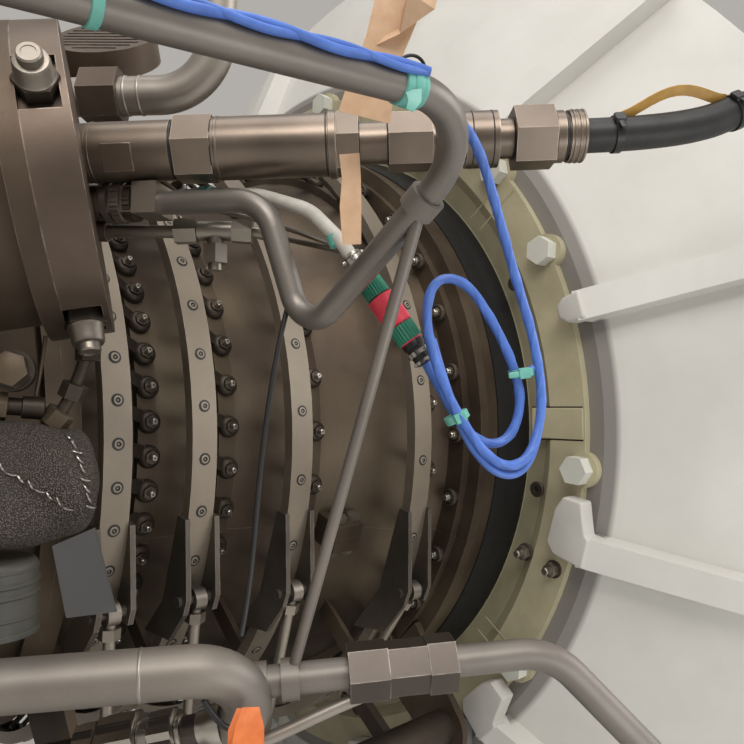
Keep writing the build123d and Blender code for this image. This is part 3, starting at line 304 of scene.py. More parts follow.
# ---- materials: light colour, dark colour and the range of roughness
METALS = {
    "casing": ((0.135, 0.099, 0.070), (0.066, 0.047, 0.034), (0.38, 0.6),
               {"turned": True, "metallic": 0.75, "tint": (0.20, 0.16, 0.105), "wear_and_highlight": 0.5}),
    "can": ((0.175, 0.132, 0.103), (0.105, 0.078, 0.06), (0.34, 0.52), {"metallic": 0.8, "wear_and_highlight": 0.9}),
    "ring": ((0.31, 0.262, 0.205), (0.215, 0.178, 0.137), (0.34, 0.5),
             {"turned": True, "metallic": 0.7, "grain": 1400, "wear_and_highlight": 0.5}),
    "lever": ((0.088, 0.067, 0.05), (0.036, 0.028, 0.022), (0.36, 0.58), {"metallic": 0.7, "wear_and_highlight": 0.4}),
    "bolt": ((0.36, 0.32, 0.27), (0.19, 0.165, 0.14), (0.28, 0.45), {"metallic": 0.9}),
    "dark_bolt": ((0.15, 0.125, 0.10), (0.07, 0.058, 0.048), (0.28, 0.45), {"metallic": 0.9}),
    "bracket": ((0.17, 0.145, 0.12), (0.10, 0.085, 0.07), (0.34, 0.5), {"metallic": 0.8, "wear_and_highlight": 0.8}),
    "union": ((0.115, 0.097, 0.084), (0.07, 0.059, 0.051), (0.26, 0.42), {"metallic": 0.92, "wear_and_highlight": 1.0}),
    "bright": ((0.55, 0.52, 0.47), (0.38, 0.35, 0.31), (0.2, 0.34), {"metallic": 1.0}),
    "pipe": ((0.44, 0.395, 0.35), (0.31, 0.275, 0.24), (0.32, 0.46), {"metallic": 0.8, "grain": 600}),
    "drain": ((0.25, 0.222, 0.195), (0.175, 0.154, 0.134), (0.38, 0.52),
              {"metallic": 0.5, "grain": 600, "tint": (0.30, 0.26, 0.21)}),
    "grey_pipe": ((0.265, 0.238, 0.212), (0.185, 0.165, 0.146), (0.34, 0.48),
                  {"metallic": 0.7, "grain": 600}),
    "fuel": ((0.245, 0.197, 0.158), (0.155, 0.124, 0.10), (0.24, 0.4),
             {"metallic": 0.92, "grain": 1200, "wear_and_highlight": 0.8}),
    "rotor": ((0.45, 0.44, 0.42), (0.33, 0.32, 0.30), (0.25, 0.4), {"turned": True}),
    "vane": ((0.46, 0.45, 0.43), (0.34, 0.33, 0.31), (0.28, 0.42), {}),
    "bronze": ((0.55, 0.40, 0.18), (0.42, 0.30, 0.13), (0.3, 0.45), {}),
}
# the same after a name, and the colour under the chips where the paint has any
PAINTS = {
    "cream": ("cream_paint", (0.46, 0.415, 0.275), (0.29, 0.255, 0.165), (0.35, 0.5), (0.22, 0.20, 0.14)),
    "white_bolt": ("white_bolt_paint", (0.62, 0.62, 0.55), (0.44, 0.43, 0.36), (0.35, 0.5),
                   (0.30, 0.27, 0.2)),
    "root": ("root_paint", (0.56, 0.54, 0.50), (0.46, 0.44, 0.405), (0.42, 0.55)),
    "base": ("base_paint", (0.20, 0.21, 0.21), (0.15, 0.155, 0.155), (0.4, 0.55)),
    "canister": ("canister_paint", (0.075, 0.073, 0.058), (0.032, 0.030, 0.025), (0.4, 0.55)),
    "grey_paint": ("grey_plate_paint", (0.105, 0.101, 0.100), (0.080, 0.077, 0.076), (0.4, 0.55)),
}
PLASTICS = {
    "rubber": ("seal_rubber", (0.0085, 0.0085, 0.009), (0.005, 0.005, 0.0055), (0.42, 0.6)),
    "hose": ("hose_rubber", (0.019, 0.018, 0.017), (0.011, 0.011, 0.010), (0.40, 0.58)),
    "white_sleeve": ("white_sleeve", (0.55, 0.53, 0.48), (0.45, 0.42, 0.37), (0.45, 0.6)),
    "blue": ("blue_jacket", (0.082, 0.185, 0.58), (0.055, 0.13, 0.45), (0.34, 0.5)),
    "red": ("red_sleeve", (0.72, 0.05, 0.085), (0.58, 0.03, 0.055), (0.38, 0.5)),
    "green": ("green_nut", (0.02, 0.19, 0.115), (0.012, 0.13, 0.08), (0.35, 0.5)),
    "teal": ("teal_tie", (0.16, 0.46, 0.39), (0.11, 0.37, 0.31), (0.35, 0.5)),
    "black": ("black_tie", (0.018, 0.016, 0.016), (0.010, 0.010, 0.010), (0.3, 0.45)),
    "peach": ("peach_tag", (0.66, 0.44, 0.28), (0.56, 0.35, 0.21), (0.5, 0.6)),
    "amber": ("amber_strap", (0.56, 0.32, 0.07), (0.44, 0.24, 0.05), (0.35, 0.5)),
    "orange": ("orange_strap", (0.75, 0.20, 0.05), (0.62, 0.14, 0.03), (0.5, 0.65)),
}
MATERIALS = {"knit": knit(), "wall": wall_paint()}
MATERIALS.update((key, worn_metal(f"{key}_metal", *row[:3], **row[3])) for key, row in METALS.items())
MATERIALS.update((key, paint(*row)) for key, row in PAINTS.items())
MATERIALS.update((key, plastic(*row)) for key, row in PLASTICS.items())

# ---- mesh helpers
SHARP_ANGLE = 35
NUT_CHAMFER = 0.8
POINT_RADIUS = 0.01
TORUS_SIDES = 8


def ring_faces(rows, count, start=0):
    """Four-sided faces between stacked closed rings of vertices."""
    faces = []
    for row in range(rows - 1):
        for k in range(count):
            a = start + row * count + k
            b = start + row * count + (k + 1) % count
            faces.append((a, b, b + count, a + count))
    return faces


def end_faces(rows, count, start=0):
    """The faces that close the first and the last ring."""
    last = start + (rows - 1) * count
    return [tuple(range(start, start + count))[::-1], tuple(range(last, last + count))]


def square_axes(axis):
    """A direction made a unit vector, with two more square to it."""
    axis = Vector(axis).normalized()
    side = axis.orthogonal().normalized()
    return axis, side, axis.cross(side)


def mesh_object(name, vertices, faces, keys, body="casing", angle=SHARP_ANGLE, shades=None):
    """Mesh that rides on a body; smooth below an angle, or flat where that is None."""
    mesh = bpy.data.meshes.new(name)
    mesh.from_pydata([tuple(vertex) for vertex in vertices], [], faces)
    mesh.validate()
    for key in keys:
        mesh.materials.append(MATERIALS[key])
    for polygon, shade in zip(mesh.polygons, shades or []):
        polygon.material_index = shade
    if angle is not None:
        mesh.shade_smooth()
        mesh.set_sharp_from_angle(angle=radians(angle))
    piece = bpy.data.objects.new(name, mesh)
    scene.collection.objects.link(piece)
    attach(piece, body)
    return piece


class Build:
    """Collects turned and flat bits into one mesh; all lengths in mm."""

    def __init__(self):
        self.vertices = []
        self.faces = []
        self.shades = []

    def add(self, vertices, faces, shade=0):
        start = len(self.vertices)
        self.vertices.extend(vertices)
        self.faces.extend(tuple(i + start for i in face) for face in faces)
        self.shades.extend([shade] * len(faces))

    def lathe(self, origin, axis, profile, segments=20, shade=0, turn=0.0, ridge=0.0):
        """Profile of (radius, height) turned about an axis; one material or one for each row."""
        axis, side, other = square_axes(axis)
        start = len(self.vertices)
        for radius, height in profile:
            for k in range(segments):
                angle = turn + 2 * pi * k / segments
                reach = radius + (ridge / 2 if k % 2 else -ridge / 2)
                spoke = side * cos(angle) + other * sin(angle)
                self.vertices.append((Vector(origin) + axis * height + spoke * reach) * MM)
        rows = len(profile)
        shades = shade if isinstance(shade, list) else [shade] * (rows - 1)
        self.faces.extend(ring_faces(rows, segments, start))
        for item in shades:
            self.shades.extend([item] * segments)
        ends = end_faces(rows, segments, start)
        for (radius, _), face, item in zip((profile[0], profile[-1]), ends, (shades[0], shades[-1])):
            if radius > POINT_RADIUS:
                self.faces.append(face)
                self.shades.append(item)

    def hexagon(self, origin, axis, across, height, shade=0, turn=0.0):
        """Chamfered nut or bolt head standing on a point."""
        corner = across / sqrt(3)
        inner = corner - NUT_CHAMFER
        rise = NUT_CHAMFER * 0.6
        profile = [(inner, 0.0), (corner, rise), (corner, height - rise), (inner, height)]
        self.lathe(origin, axis, profile, 6, shade, turn)

    def drum(self, foot, axis, radius, length, drop=1.5, lip=0.8, segments=32, shade=0, ridge=0.0):
        """Short cylinder with broken edges."""
        inner = radius - drop
        profile = [(inner, 0), (radius, lip), (radius, length - lip), (inner, length)]
        self.lathe(foot, axis, profile, segments, shade, ridge=ridge)

    def ridged(self, foot, axis, radius, length, teeth, shade=0, depth=0.7):
        """Grip with lengthwise ridges."""
        self.drum(foot, axis, radius, length, segments=teeth * 2, shade=shade, ridge=depth)

    def band(self, foot, axis, radius, width, shade=0, lip=0.5, segments=40):
        """Thin ring round a line."""
        inner = radius - 1.2
        edge = radius - lip
        profile = [(inner, 0.0), (edge, 0.0), (radius, lip), (radius, width - lip), (edge, width),
                   (inner, width)]
        self.lathe(foot, axis, profile, segments, shade)

    def flat_pad(self, centre, line, normal, length, width, depth, shade=0, corner=3.0):
        """Rounded low pad that lies along a line, outward along a normal."""
        line = Vector(line).normalized()
        normal = Vector(normal).normalized()
        across = line.cross(normal)
        outline = []
        for sx, sy, start in ((1, 1, 0), (-1, 1, 90), (-1, -1, 180), (1, -1, 270)):
            for step in range(4):
                turn = radians(start + step * 30)
                outline.append((sx * (length / 2 - corner) + corner * cos(turn),
                                sy * (width / 2 - corner) + corner * sin(turn)))
        vertices = []
        for level, shrink in ((0, 0), (depth * 0.7, 0), (depth, 0.5)):
            for u, v in outline:
                u -= shrink * (1 if u > 0 else -1)
                v -= shrink * (1 if v > 0 else -1)
                vertices.append((Vector(centre) + line * u + across * v + normal * level) * MM)
        count = len(outline)
        self.add(vertices, ring_faces(3, count) + end_faces(3, count), shade)

    def piece(self, name, keys, body="casing"):
        return mesh_object(name, self.vertices, self.faces, keys, body, shades=self.shades)


def polar(x, r, angle):
    """Point at a station, a radius and an angle above the valve side, in mm."""
    return Vector((x, -r * cos(radians(angle)), r * sin(radians(angle))))


def outward(angle):
    return Vector((0, -cos(radians(angle)), sin(radians(angle))))


def side_of(line, toward):
    """Unit vector square to a line that points most nearly towards another."""
    toward = Vector(toward)
    return (toward - line * toward.dot(line)).normalized()


def curve_tube(name, points, radius, key, order=4, resolution=12):
    """Smooth round line through control points in mm."""
    data = bpy.data.curves.new(name, "CURVE")
    data.dimensions = "3D"
    data.bevel_depth = radius * MM
    data.bevel_resolution = 6
    data.use_fill_caps = True
    data.resolution_u = resolution
    spline = data.splines.new("NURBS")
    spline.points.add(len(points) - 1)
    for item, point in zip(spline.points, points):
        item.co = (*(Vector(point) * MM), 1.0)
    spline.order_u = order
    spline.use_endpoint_u = True
    data.materials.append(MATERIALS[key])
    piece = bpy.data.objects.new(name, data)
    scene.collection.objects.link(piece)
    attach(piece, "casing")
    return piece


def centre_line(piece):
    """Points along a curve's middle, in mm."""
    data = piece.data.copy()
    data.bevel_depth = 0.0
    probe = bpy.data.objects.new("probe", data)
    mesh = bpy.data.meshes.new_from_object(probe)
    points = [vertex.co / MM for vertex in mesh.vertices]
    bpy.data.objects.remove(probe)
    bpy.data.meshes.remove(mesh)
    return points


def curve_length(piece):
    """Length of a curve object along its own line, in metres."""
    points = centre_line(piece)
    return sum((b - a).length for a, b in zip(points, points[1:])) * MM


def at_distance(points, distance):
    """Point and direction at a distance along a line of points."""
    for a, b in zip(points, points[1:]):
        step = (b - a).length
        if distance <= step:
            return a + (b - a) * (distance / step), (b - a).normalized()
        distance -= step
    return points[-1], (points[-1] - points[-2]).normalized()


def tie(name, centre, direction, radius, key, width, head, tail=0.0):
    """Strap round a line, with a small head and perhaps a loose tail."""
    direction = Vector(direction).normalized()
    build = Build()
    outer = radius + 1.3
    build.lathe(Vector(centre) - direction * width / 2, direction,
                [(radius - 0.5, 0), (radius + 0.9, 0.0), (outer, 0.4), (outer, width - 0.4),
                 (radius + 0.9, width), (radius - 0.5, width)], 32)
    normal = side_of(direction, head)
    seat = Vector(centre) + normal * (radius + 0.4)
    build.flat_pad(seat, direction, normal, width + 2, width + 3, 3.6, 0, 1.2)
    if tail > 0:
        across = direction.cross(normal)
        seat = Vector(centre) + normal * (radius + 2.2) + across * tail / 2
        build.flat_pad(seat, direction, normal, width * 0.7, tail, 1.0, 0, 0.8)
    build.piece(name, [key])


def torus(name, centre, axis, radius, thick, key, segments=36):
    """Plain closed ring."""
    axis, side, other = square_axes(axis)
    vertices = []
    for k in range(segments):
        turn = 2 * pi * k / segments
        spoke = side * cos(turn) + other * sin(turn)
        for j in range(TORUS_SIDES):
            bend = 2 * pi * j / TORUS_SIDES
            point = Vector(centre) + spoke * (radius + thick * cos(bend)) + axis * thick * sin(bend)
            vertices.append(point * MM)
    count = len(vertices)
    faces = [tuple(i % count for i in face) for face in ring_faces(segments + 1, TORUS_SIDES)]
    mesh_object(name, vertices, faces, [key])


def ribbon(name, points, widths, key, across, thick=0.6):
    """Flat strip through points, with a width at each and a common direction across."""
    vertices = []
    points = [Vector(point) for point in points]
    for k, (point, width) in enumerate(zip(points, widths)):
        way = (points[min(k + 1, len(points) - 1)] - points[max(k - 1, 0)]).normalized()
        side = side_of(way, across)
        normal = way.cross(side)
        for s, n in ((-1, -1), (1, -1), (1, 1), (-1, 1)):
            vertices.append((point + side * s * width / 2 + normal * n * thick / 2) * MM)
    rows = len(points)
    mesh_object(name, vertices, end_faces(rows, 4) + ring_faces(rows, 4), [key], angle=60)


def twist(name, line, reach, radius, pitch, start, key):
    """Strand wound round a line of points."""
    points = []
    travelled = 0.0
    side = Vector((0.3, 0.5, 0.8))
    for here, there in zip(line, line[1:]):
        way = there - here
        if way.length < 1e-6:
            continue
        travelled += way.length
        way = way.normalized()
        side = side_of(way, side)
        turn = start + 2 * pi * travelled / pitch
        points.append(here + (side * cos(turn) + way.cross(side) * sin(turn)) * reach)
    curve_tube(name, points, radius, key, order=3, resolution=2)


place_camera()

# ---- cords: the same routes as the solids, in mm
valve_start = Vector((405, -563, 254.5))
valve_line = Vector((0.7321, -0.6803, 0.0355)).normalized()


def on_valve(distance):
    return valve_start + valve_line * distance


hose_foot = polar(1267.1 + 30, 950, 24)
hose_out = polar(0, cos(radians(30)), 24) - Vector((sin(radians(30)), 0, 0))
hose_end = hose_foot + hose_out * 48
HOSE_POINTS = [
    on_valve(415), on_valve(498), (826, -934, 300), (893, -982, 328), (975, -1018, 372),
    (1065, -1035, 428), hose_end + hose_out * 120, hose_end,
]
CABLE_POINTS = [
    (575, -793, 80), (588, -811, 37), (603, -826, 17), (620, -838, 22), (629, -842, 50),
    (621, -839, 80), (608, -831, 110), (592, -819, 140), (573, -806, 143), (562, -804, 118),
    (563, -812, 80), (574, -824, 42), (594, -842, 4), (622, -852, 4), (640, -854, 45),
    (634, -850, 95), (618, -845, 140), (600, -843, 185), (578, -846, 222), (552, -852, 240),
    (515, -860, 234), (465, -884, 239), (400, -880, 236), (320, -871, 233.5), (282, -868, 236),
    (245, -867, 238.5),
]


hose = curve_tube("hose_line", HOSE_POINTS, 14, "hose", order=3, resolution=24)
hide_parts("fuel_hose")
curve_length(hose)

cable = curve_tube("cable_line", CABLE_POINTS, 3.5, "blue", order=3, resolution=16)
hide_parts("sensor_cable")
curve_length(cable)


# ---- finishes of the CAD nodes
def per_row(stem):
    return [f"{stem}_{number}" for number in (1, 2, 3, 4)]


FINISHES = {
    "casing": ["compressor_casing_top", "compressor_casing_bottom", "centre_casing", "shaft_brackets"],
    "can": ["combustor_covers", "vent_cap", "rear_cover", "bleed_nut"],
    "ring": per_row("unison_ring"),
    "lever": per_row("vane_levers") + ["actuating_shaft", "flange_studs"],
    "bracket": per_row("ring_bracket"),
    "bolt": per_row("push_rod") + ["pressure_block", "casing_bolts", "cover_studs", "tee_fitting"],
    "dark_bolt": ["lever_nuts"],
    "vane": ["guide_vanes", "inlet_vanes"],
    "rotor": ["rotor_shaft", "rotor_discs"],
    "bronze": ["bearings"],
    "cream": ["intake_casing"],
    "white_bolt": ["intake_bolts"],
    "wall": ["intake_wall"],
    "rubber": ["seal_band"],
    "fuel": ["fuel_valve", "hose_fitting", "hose_union", "balance_union"],
    "union": ["pipe_union"],
    "grey_pipe": ["balance_pipe"],
    "pipe": ["bleed_pipe"],
    "drain": ["drain_pipe", "return_pipe", "brace_rod"],
    "white_sleeve": ["signal_sleeve"],
    "red": ["sensor_plug"],
    "grey_paint": ["insulation_jacket"],
    "canister": ["canister"],
    "base": ["cable_box", "base_frame", "rear_support", "front_support"],
}
EDGE_WIDTHS = {
    0.4: per_row("vane_levers"),
    0.5: ["lever_nuts"],
    0.6: per_row("ring_bracket") + ["tee_fitting"],
    0.8: per_row("unison_ring") + ["cover_studs"],
    0.9: ["fuel_valve", "hose_fitting", "pipe_union", "pressure_block"],
    1.0: ["bleed_nut", "actuating_shaft"],
    1.2: ["compressor_casing_top", "compressor_casing_bottom", "vent_cap", "intake_bolts"],
    1.5: ["centre_casing"],
    1.8: ["combustor_covers"],
    2.0: ["intake_casing"],
    2.5: ["intake_wall"],
}


def dress(name, key):
    mesh = nodes[name].data
    mesh.materials.clear()
    mesh.materials.append(MATERIALS[key])


def smooth_node(name):
    """Smooth shading with sharp edges kept; the vertices stay as they are."""
    mesh = nodes[name].data
    mesh.shade_smooth()
    mesh.set_sharp_from_angle(angle=radians(SHARP_ANGLE))


def bevel_node(name, width):
    modifier = nodes[name].modifiers.new("edge", "BEVEL")
    modifier.width = width * MM
    modifier.segments = 2
    modifier.limit_method = "ANGLE"
    modifier.angle_limit = radians(40)
    modifier.harden_normals = True


for finish, names in FINISHES.items():
    for name in names:
        dress(name, finish)
for name in nodes:
    smooth_node(name)
for width, names in EDGE_WIDTHS.items():
    for name in names:
        bevel_node(name, width)

# ---- rows of vanes: number, ring's station and radius, stems' station, lever tips' radius,
# count, and the angles of the first stem and the first pin
ROWS = [
    (1, 500.6, 425.0, 561.7, 385.5, 58, 40.54, 18.87),
    (2, 600.0, 430.0, 667.3, 386.9, 45, 41.89, 29.36),
    (3, 720.4, 453.4, 790.2, 405.9, 34, 21.52, 25.28),
    (4, 881.8, 502.6, 949.1, 463.9, 30, 4.92, 8.08),
]
BARE_PLACE = (4, 27)  # row and number of a pin that is left off near the push rod
PIN_PROFILE = [(7.0, -0.5), (7.0, 0.2), (4.9, 0.25), (4.8, 1.0), (4.4, 1.3), (2.9, 1.3), (2.4, 0.5),
               (0.9, 0.5), (0.8, 1.1), (0.01, 1.2)]
PIN_SHADES = [1, 1, 0, 0, 0, 1, 1, 0, 0]
COLLAR_PROFILE = [(13.6, -3.8), (13.8, -0.6), (12.8, 2.6), (10.6, 5.2), (8.9, 5.9), (8.2, 5.2)]
COLLAR_DROP = 14
STEM_PROFILE = [(3.7, -5.6), (3.7, 0.2), (2.9, 1.1), (1.2, 1.1), (0.9, 0.4), (0.01, 0.4)]
STEM_SHADES = [1, 1, 1, 0, 0]

# ---- unison ring pins: round heads in a dark annular groove, one over each lever's end
for number, ring_x, ring_r, _, _, count, _, first_pin in ROWS:
    pins = Build()
    for k in range(count):
        if (number, k) == BARE_PLACE:
            continue
        angle = first_pin + 360 * k / count
        pins.lathe(polar(ring_x, ring_r, angle), outward(angle), PIN_PROFILE, 18, PIN_SHADES)
    pins.piece(f"ring_pins_{number}", ["ring", "black"], f"ring_{number}")

# ---- lever stems: a dark collar and the stud's bright rounded end at each one
for number, _, _, stem_x, tip_r, count, first_stem, _ in ROWS:
    stems = Build()
    for k in range(count):
        angle = first_stem + 360 * k / count
        out = outward(angle)
        stems.lathe(polar(stem_x, tip_r - COLLAR_DROP, angle), out, COLLAR_PROFILE, 24)
        stems.lathe(polar(stem_x, tip_r, angle), out, STEM_PROFILE, 14, STEM_SHADES)
    stems.piece(f"lever_collars_{number}", ["lever", "bright"])

# ---- front flange: washers and nuts on the studs
STUD_COUNT = 32
STUD_FIRST = 10.4
STUD_X = 989.0
STUD_R = 466
BACK = Vector((-1, 0, 0))
flange = Build()
for k in range(STUD_COUNT):
    foot = polar(STUD_X, STUD_R, STUD_FIRST + 360 * k / STUD_COUNT)
    flange.hexagon(foot, BACK, 13.5, 7, 1, random.uniform(0, 1))
    washer = [(12.4, 0), (12.4, 3.0), (11.0, 5.4), (9.6, 5.8), (8.6, 4.6)]
    flange.lathe(foot - BACK * 0.3, BACK, washer, 26)
    flange.lathe(foot + BACK * 6.8, BACK, [(4.6, 0), (4.6, 5.0), (3.6, 6.0), (0.01, 6.0)], 14, 1)
flange.piece("flange_nuts", ["lever", "bright"])

# ---- can covers: nut, collar and rounded end over each stud
CAN_COUNT = 4
CAN_ANGLE = 22
CAN_TILT = radians(27.5)
CAN_FACE_X = 409
CAN_CENTRE_R = 612
CAN_COVER_T = 33
CAN_STUD_DEPTH = 14
CAN_STUD_R = 115
CAP_PROFILE = [(13.2, 0), (13.6, 1.2), (12.8, 2.4), (12.4, 13), (11.4, 15.4), (8.8, 16), (8.5, 16),
               (8.5, 21.4), (7.4, 22.6), (5.0, 22.6), (4.6, 21.6), (0.01, 21.6)]
collars = Build()
for k in range(CAN_COUNT):
    out = outward(CAN_ANGLE + 360 * k / CAN_COUNT)
    facing = Vector((cos(CAN_TILT), 0, 0)) + out * sin(CAN_TILT)
    across = out * cos(CAN_TILT) - Vector((sin(CAN_TILT), 0, 0))
    middle = Vector((CAN_FACE_X, 0, 0)) + out * CAN_CENTRE_R - facing * (CAN_COVER_T - CAN_STUD_DEPTH)
    for quarter in range(4):
        turn = quarter * pi / 2
        way = across * cos(turn) + facing.cross(across) * sin(turn)
        seat = middle + way * CAN_STUD_R
        collars.hexagon(seat + way * 0.5, way, 27.5, 12.4, 1, 0.4)
        collars.lathe(seat + way * 12, way, CAP_PROFILE, 28)
collars.piece("stud_collars", ["bolt", "lever"])

# ---- fuel line: joints and grooves as distance, radius, width and material, and the milled patch
VALVE_BANDS = (
    (12, 24.9, 1.6, 0), (76.6, 23.6, 2.6, 1), (110.4, 25.9, 1.2, 1), (113.5, 26.0, 2.6, 0),
    (203.0, 25.9, 1.4, 1), (205.2, 27.6, 6.4, 0), (229.6, 18.6, 1.2, 1), (253.0, 18.4, 1.2, 1),
    (289.4, 16.5, 1.2, 1), (292.5, 16.2, 3.0, 0), (313.5, 16.2, 3.0, 0), (322.0, 23.5, 1.2, 1),
    (338.5, 23.5, 1.2, 1), (356.2, 17.4, 1.0, 1), (390.0, 21.6, 1.2, 1), (398.6, 19.0, 2.8, 1),
    (404.0, 21.6, 2.4, 0), (408.4, 21.6, 2.4, 0), (412.6, 21.6, 2.2, 0), (415.0, 16.5, 2.2, 1),
)
valve = Build()
for distance, radius, width, shade in VALVE_BANDS:
    valve.band(on_valve(distance), valve_line, radius, width, shade)
valve.piece("valve_bands", ["fuel", "black"])

low_side = side_of(valve_line, (-0.60, -0.66, -0.46))
patch = Build()
patch.flat_pad(on_valve(36) + low_side * 22.9, valve_line, low_side, 25, 23, 1.8, 0, 1.2)
patch.piece("valve_patch", ["can"])

# ---- sensor plug: coloured nuts, knurled grips and the dark backshell
signal_end = Vector((538, -751, 160))
plug_end = Vector(CABLE_POINTS[0])
plug_line = (plug_end - signal_end).normalized()
plug_length = (plug_end - signal_end).length


def on_plug(distance):
    return signal_end + plug_line * distance


plug = Build()
plug.band(signal_end, plug_line, 7.6, 5, 3)
for distance, radius, length, teeth, shade, depth in (
    (6, 7.8, 12, 22, 3, 0.7), (22, 9.6, 15, 26, 1, 0.7), (63.2, 10.0, 15, 24, 1, 0.7),
    (86, 8.6, 5, 14, 3, 1.2), (94, 8.4, 3.5, 12, 3, 1.4),
):
    plug.ridged(on_plug(distance), plug_line, radius, length, teeth, shade, depth)
plug.drum(on_plug(37), plug_line, 10.9, 26, 1.4)
plug.lathe(on_plug(78.6), plug_line, [(8.6, 0), (8.8, 0.8), (8.8, 5), (7.5, 6), (7.4, plug_length - 78.8),
                                      (4.6, plug_length - 77.6)], 28, 2)
plug.piece("plug_details", ["red", "green", "black", "bright"])

# ---- pressure block: a plain band and two knurled grips
block_seat = Vector((427, -558, 218))
block_line = Vector((0.6, -0.8, -0.018)).normalized()
knurls = Build()
knurls.drum(block_seat + block_line * 3, block_line, 17, 7, 3, 0.8, 36)
knurls.ridged(block_seat + block_line * 12, block_line, 17.2, 9, 30, 0, 1.0)
knurls.ridged(block_seat + block_line * 23, block_line, 16.2, 8, 26, 1, 1.0)
knurls.piece("block_knurls", ["bolt", "lever"])

# ---- ties and tapes on the hose, the cable, the pipe and the signal sleeve
hose_line = centre_line(hose)
for label, distance in (("a", 28), ("b", 134)):
    point, way = at_distance(hose_line, distance)
    tie(f"hose_tie_{label}", point, way, 14, "black", 7, (-0.6, -0.5, 0.6), 14)

tie_head = (-0.68, -0.73, 0.3)
tie("cable_tie_upper", (629, -841, 72), (0.15, -0.05, -1), 8.5, "teal", 6, tie_head, 12)
tie("cable_tie_lower", (581, -818.5, 39), (0.4, -0.3, -1), 8.0, "teal", 6, tie_head)
pipe_way = Vector((375.2, -38.8, 13.4)).normalized()
wrap = Build()
for shift, radius, width in ((-5, 10.6, 7), (0, 11.1, 7), (6, 10.5, 5)):
    wrap.lathe(Vector((450, -893.5, 225.3)) + pipe_way * shift, pipe_way,
               [(radius - 1, 0), (radius, 0.6), (radius + 0.3, width / 2), (radius, width - 0.6),
                (radius - 1, width)], 28)
for place, radius, width, lip, segments in (
    ((449, -883, 238.5), 5.2, 7, 0.6, 18), ((457, -883, 238.5), 5.2, 7, 0.6, 18),
    ((282, -876.2, 219.2), 10.4, 5.5, 0.5, 28), ((283, -868, 235.5), 5.0, 5, 0.6, 18),
):
    wrap.drum(place, pipe_way, radius, width, 0.8, lip, segments)
wrap.piece("pipe_tapes", ["teal"])
torus("wire_loop", (474, -876, 246), (0.5, 0.75, 0.35), 8.5, 1.0, "black")
ribbon("tape_tail", [(448, -903, 220), (447, -905, 213), (445, -903, 208)], [9, 7, 4], "teal",
       (0.7, -0.7, 0))
sleeve_tape = Build()
for place, way, radius, length in (
    ((535.2, -733, 180), (0.35, -0.55, -1.7), 6.6, 10), ((485, -616.5, 224.6), (0.5, -0.85, -0.02), 6.8, 11),
):
    sleeve_tape.drum(place, way, radius, length, radius - 5.4, 0.6, 24)
sleeve_tape.piece("sleeve_tapes", ["teal"])
sleeve_clip = Build()
for distance in (-3, 4):
    sleeve_clip.lathe(on_plug(distance), plug_line, [(6.0, 0), (7.6, 0.5), (7.6, 2.6), (6.0, 3.2)], 24)
_, side, other = square_axes(plug_line)
for k in range(5):
    turn = 2 * pi * k / 5
    spoke = side * cos(turn) + other * sin(turn)
    sleeve_clip.lathe(on_plug(1.5) + spoke * 7.2, spoke, [(2.2, 0), (2.2, 2.2), (1.4, 3.0)], 10)
sleeve_clip.piece("sleeve_clip", ["bright"])

# ---- the cable's two twisted cores stand out of its jacket
cable_line = centre_line(cable)
for label, start in (("a", 0.0), ("b", pi)):
    twist(f"cable_core_{label}", cable_line, 1.75, 2.1, 62, start, "blue")

# ---- two more cores wind nearer the front along the balance pipe
CORE_START = 458
CORE_STEP = 16.2
CORE_POINTS = 14
CORE_REACH = 12.2
CORE_RISE = 31
CORE_SWAY = 14
pipe_middle = Vector((150, -862.5, 214.5))
pipe_slope = Vector((1, -0.1034, 0.0357))
for label, lean, thick in (("c", 1, 2.5), ("d", -1, 2.2)):
    front_core = []
    for k in range(CORE_POINTS):
        middle = pipe_middle + pipe_slope * (CORE_START - CORE_STEP * k - pipe_middle.x)
        out = outward(CORE_RISE + lean * CORE_SWAY * sin(1.25 * k))
        front_core.append(middle + out * (CORE_REACH + 0.5 * lean * cos(1.25 * k)))
    curve_tube(f"cable_core_{label}", front_core, thick, "blue", resolution=10)

# ---- second strand of the cable's lower loop, laid beside the first
shifted = [Vector(point) + Vector((2.5, 3.0, -7.2)) for point in CABLE_POINTS[11:15]]
strand = [(566, -808, 96), *shifted, (638, -851, 84), (630, -845, 70)]
curve_tube("cable_strand", strand, 3.1, "blue", order=3, resolution=16)

# ---- thin lines: a dark earthing wire, and a bright one along the brace
curve_tube("thin_line", [(518, -700, 132), (509, -699, 106), (497, -697, 40), (487, -699, -30),
                         (479, -703, -90), (473, -700, -124)], 2.1, "black")
curve_tube("signal_wire", [(497, -613, 214), (515, -640, 207), (532, -690, 190), (540, -735, 170)],
           2.2, "bright")

# ---- amber strap from the first hose tie to the second
STRAP_START = 30
STRAP_SPAN = 92
arch = []
for k in range(13):
    share = k / 12
    point, _ = at_distance(hose_line, STRAP_START + STRAP_SPAN * share)
    arch.append(point + Vector((0, -3, 14)) + Vector((0, -2, 17)) * sin(pi * share) ** 1.3)
ribbon("amber_strap", arch, [9] * 13, "amber", (0.45, 0.45, -0.75), 0.8)

# ---- paper tag on the fuel line and its folded strips above
ribbon("tag_lower", [(499.5, -792, 222), (500.5, -793, 205), (501.5, -791, 186), (503.5, -790, 160)],
       [14, 13, 15, 13], "peach", (0.73, -0.68, 0))
ribbon("tag_upper", [(486, -822, 236), (487, -829, 258), (489, -838, 278), (492, -846, 300),
                     (495, -850, 330)], [34, 30, 26, 30, 26], "peach", (0.73, -0.68, 0.1))
ribbon("tag_fold", [(484, -824, 282), (494, -846, 288), (500, -860, 303), (503, -864, 326)],
       [12, 18, 20, 18], "peach", (0.5, -0.5, 0.7))

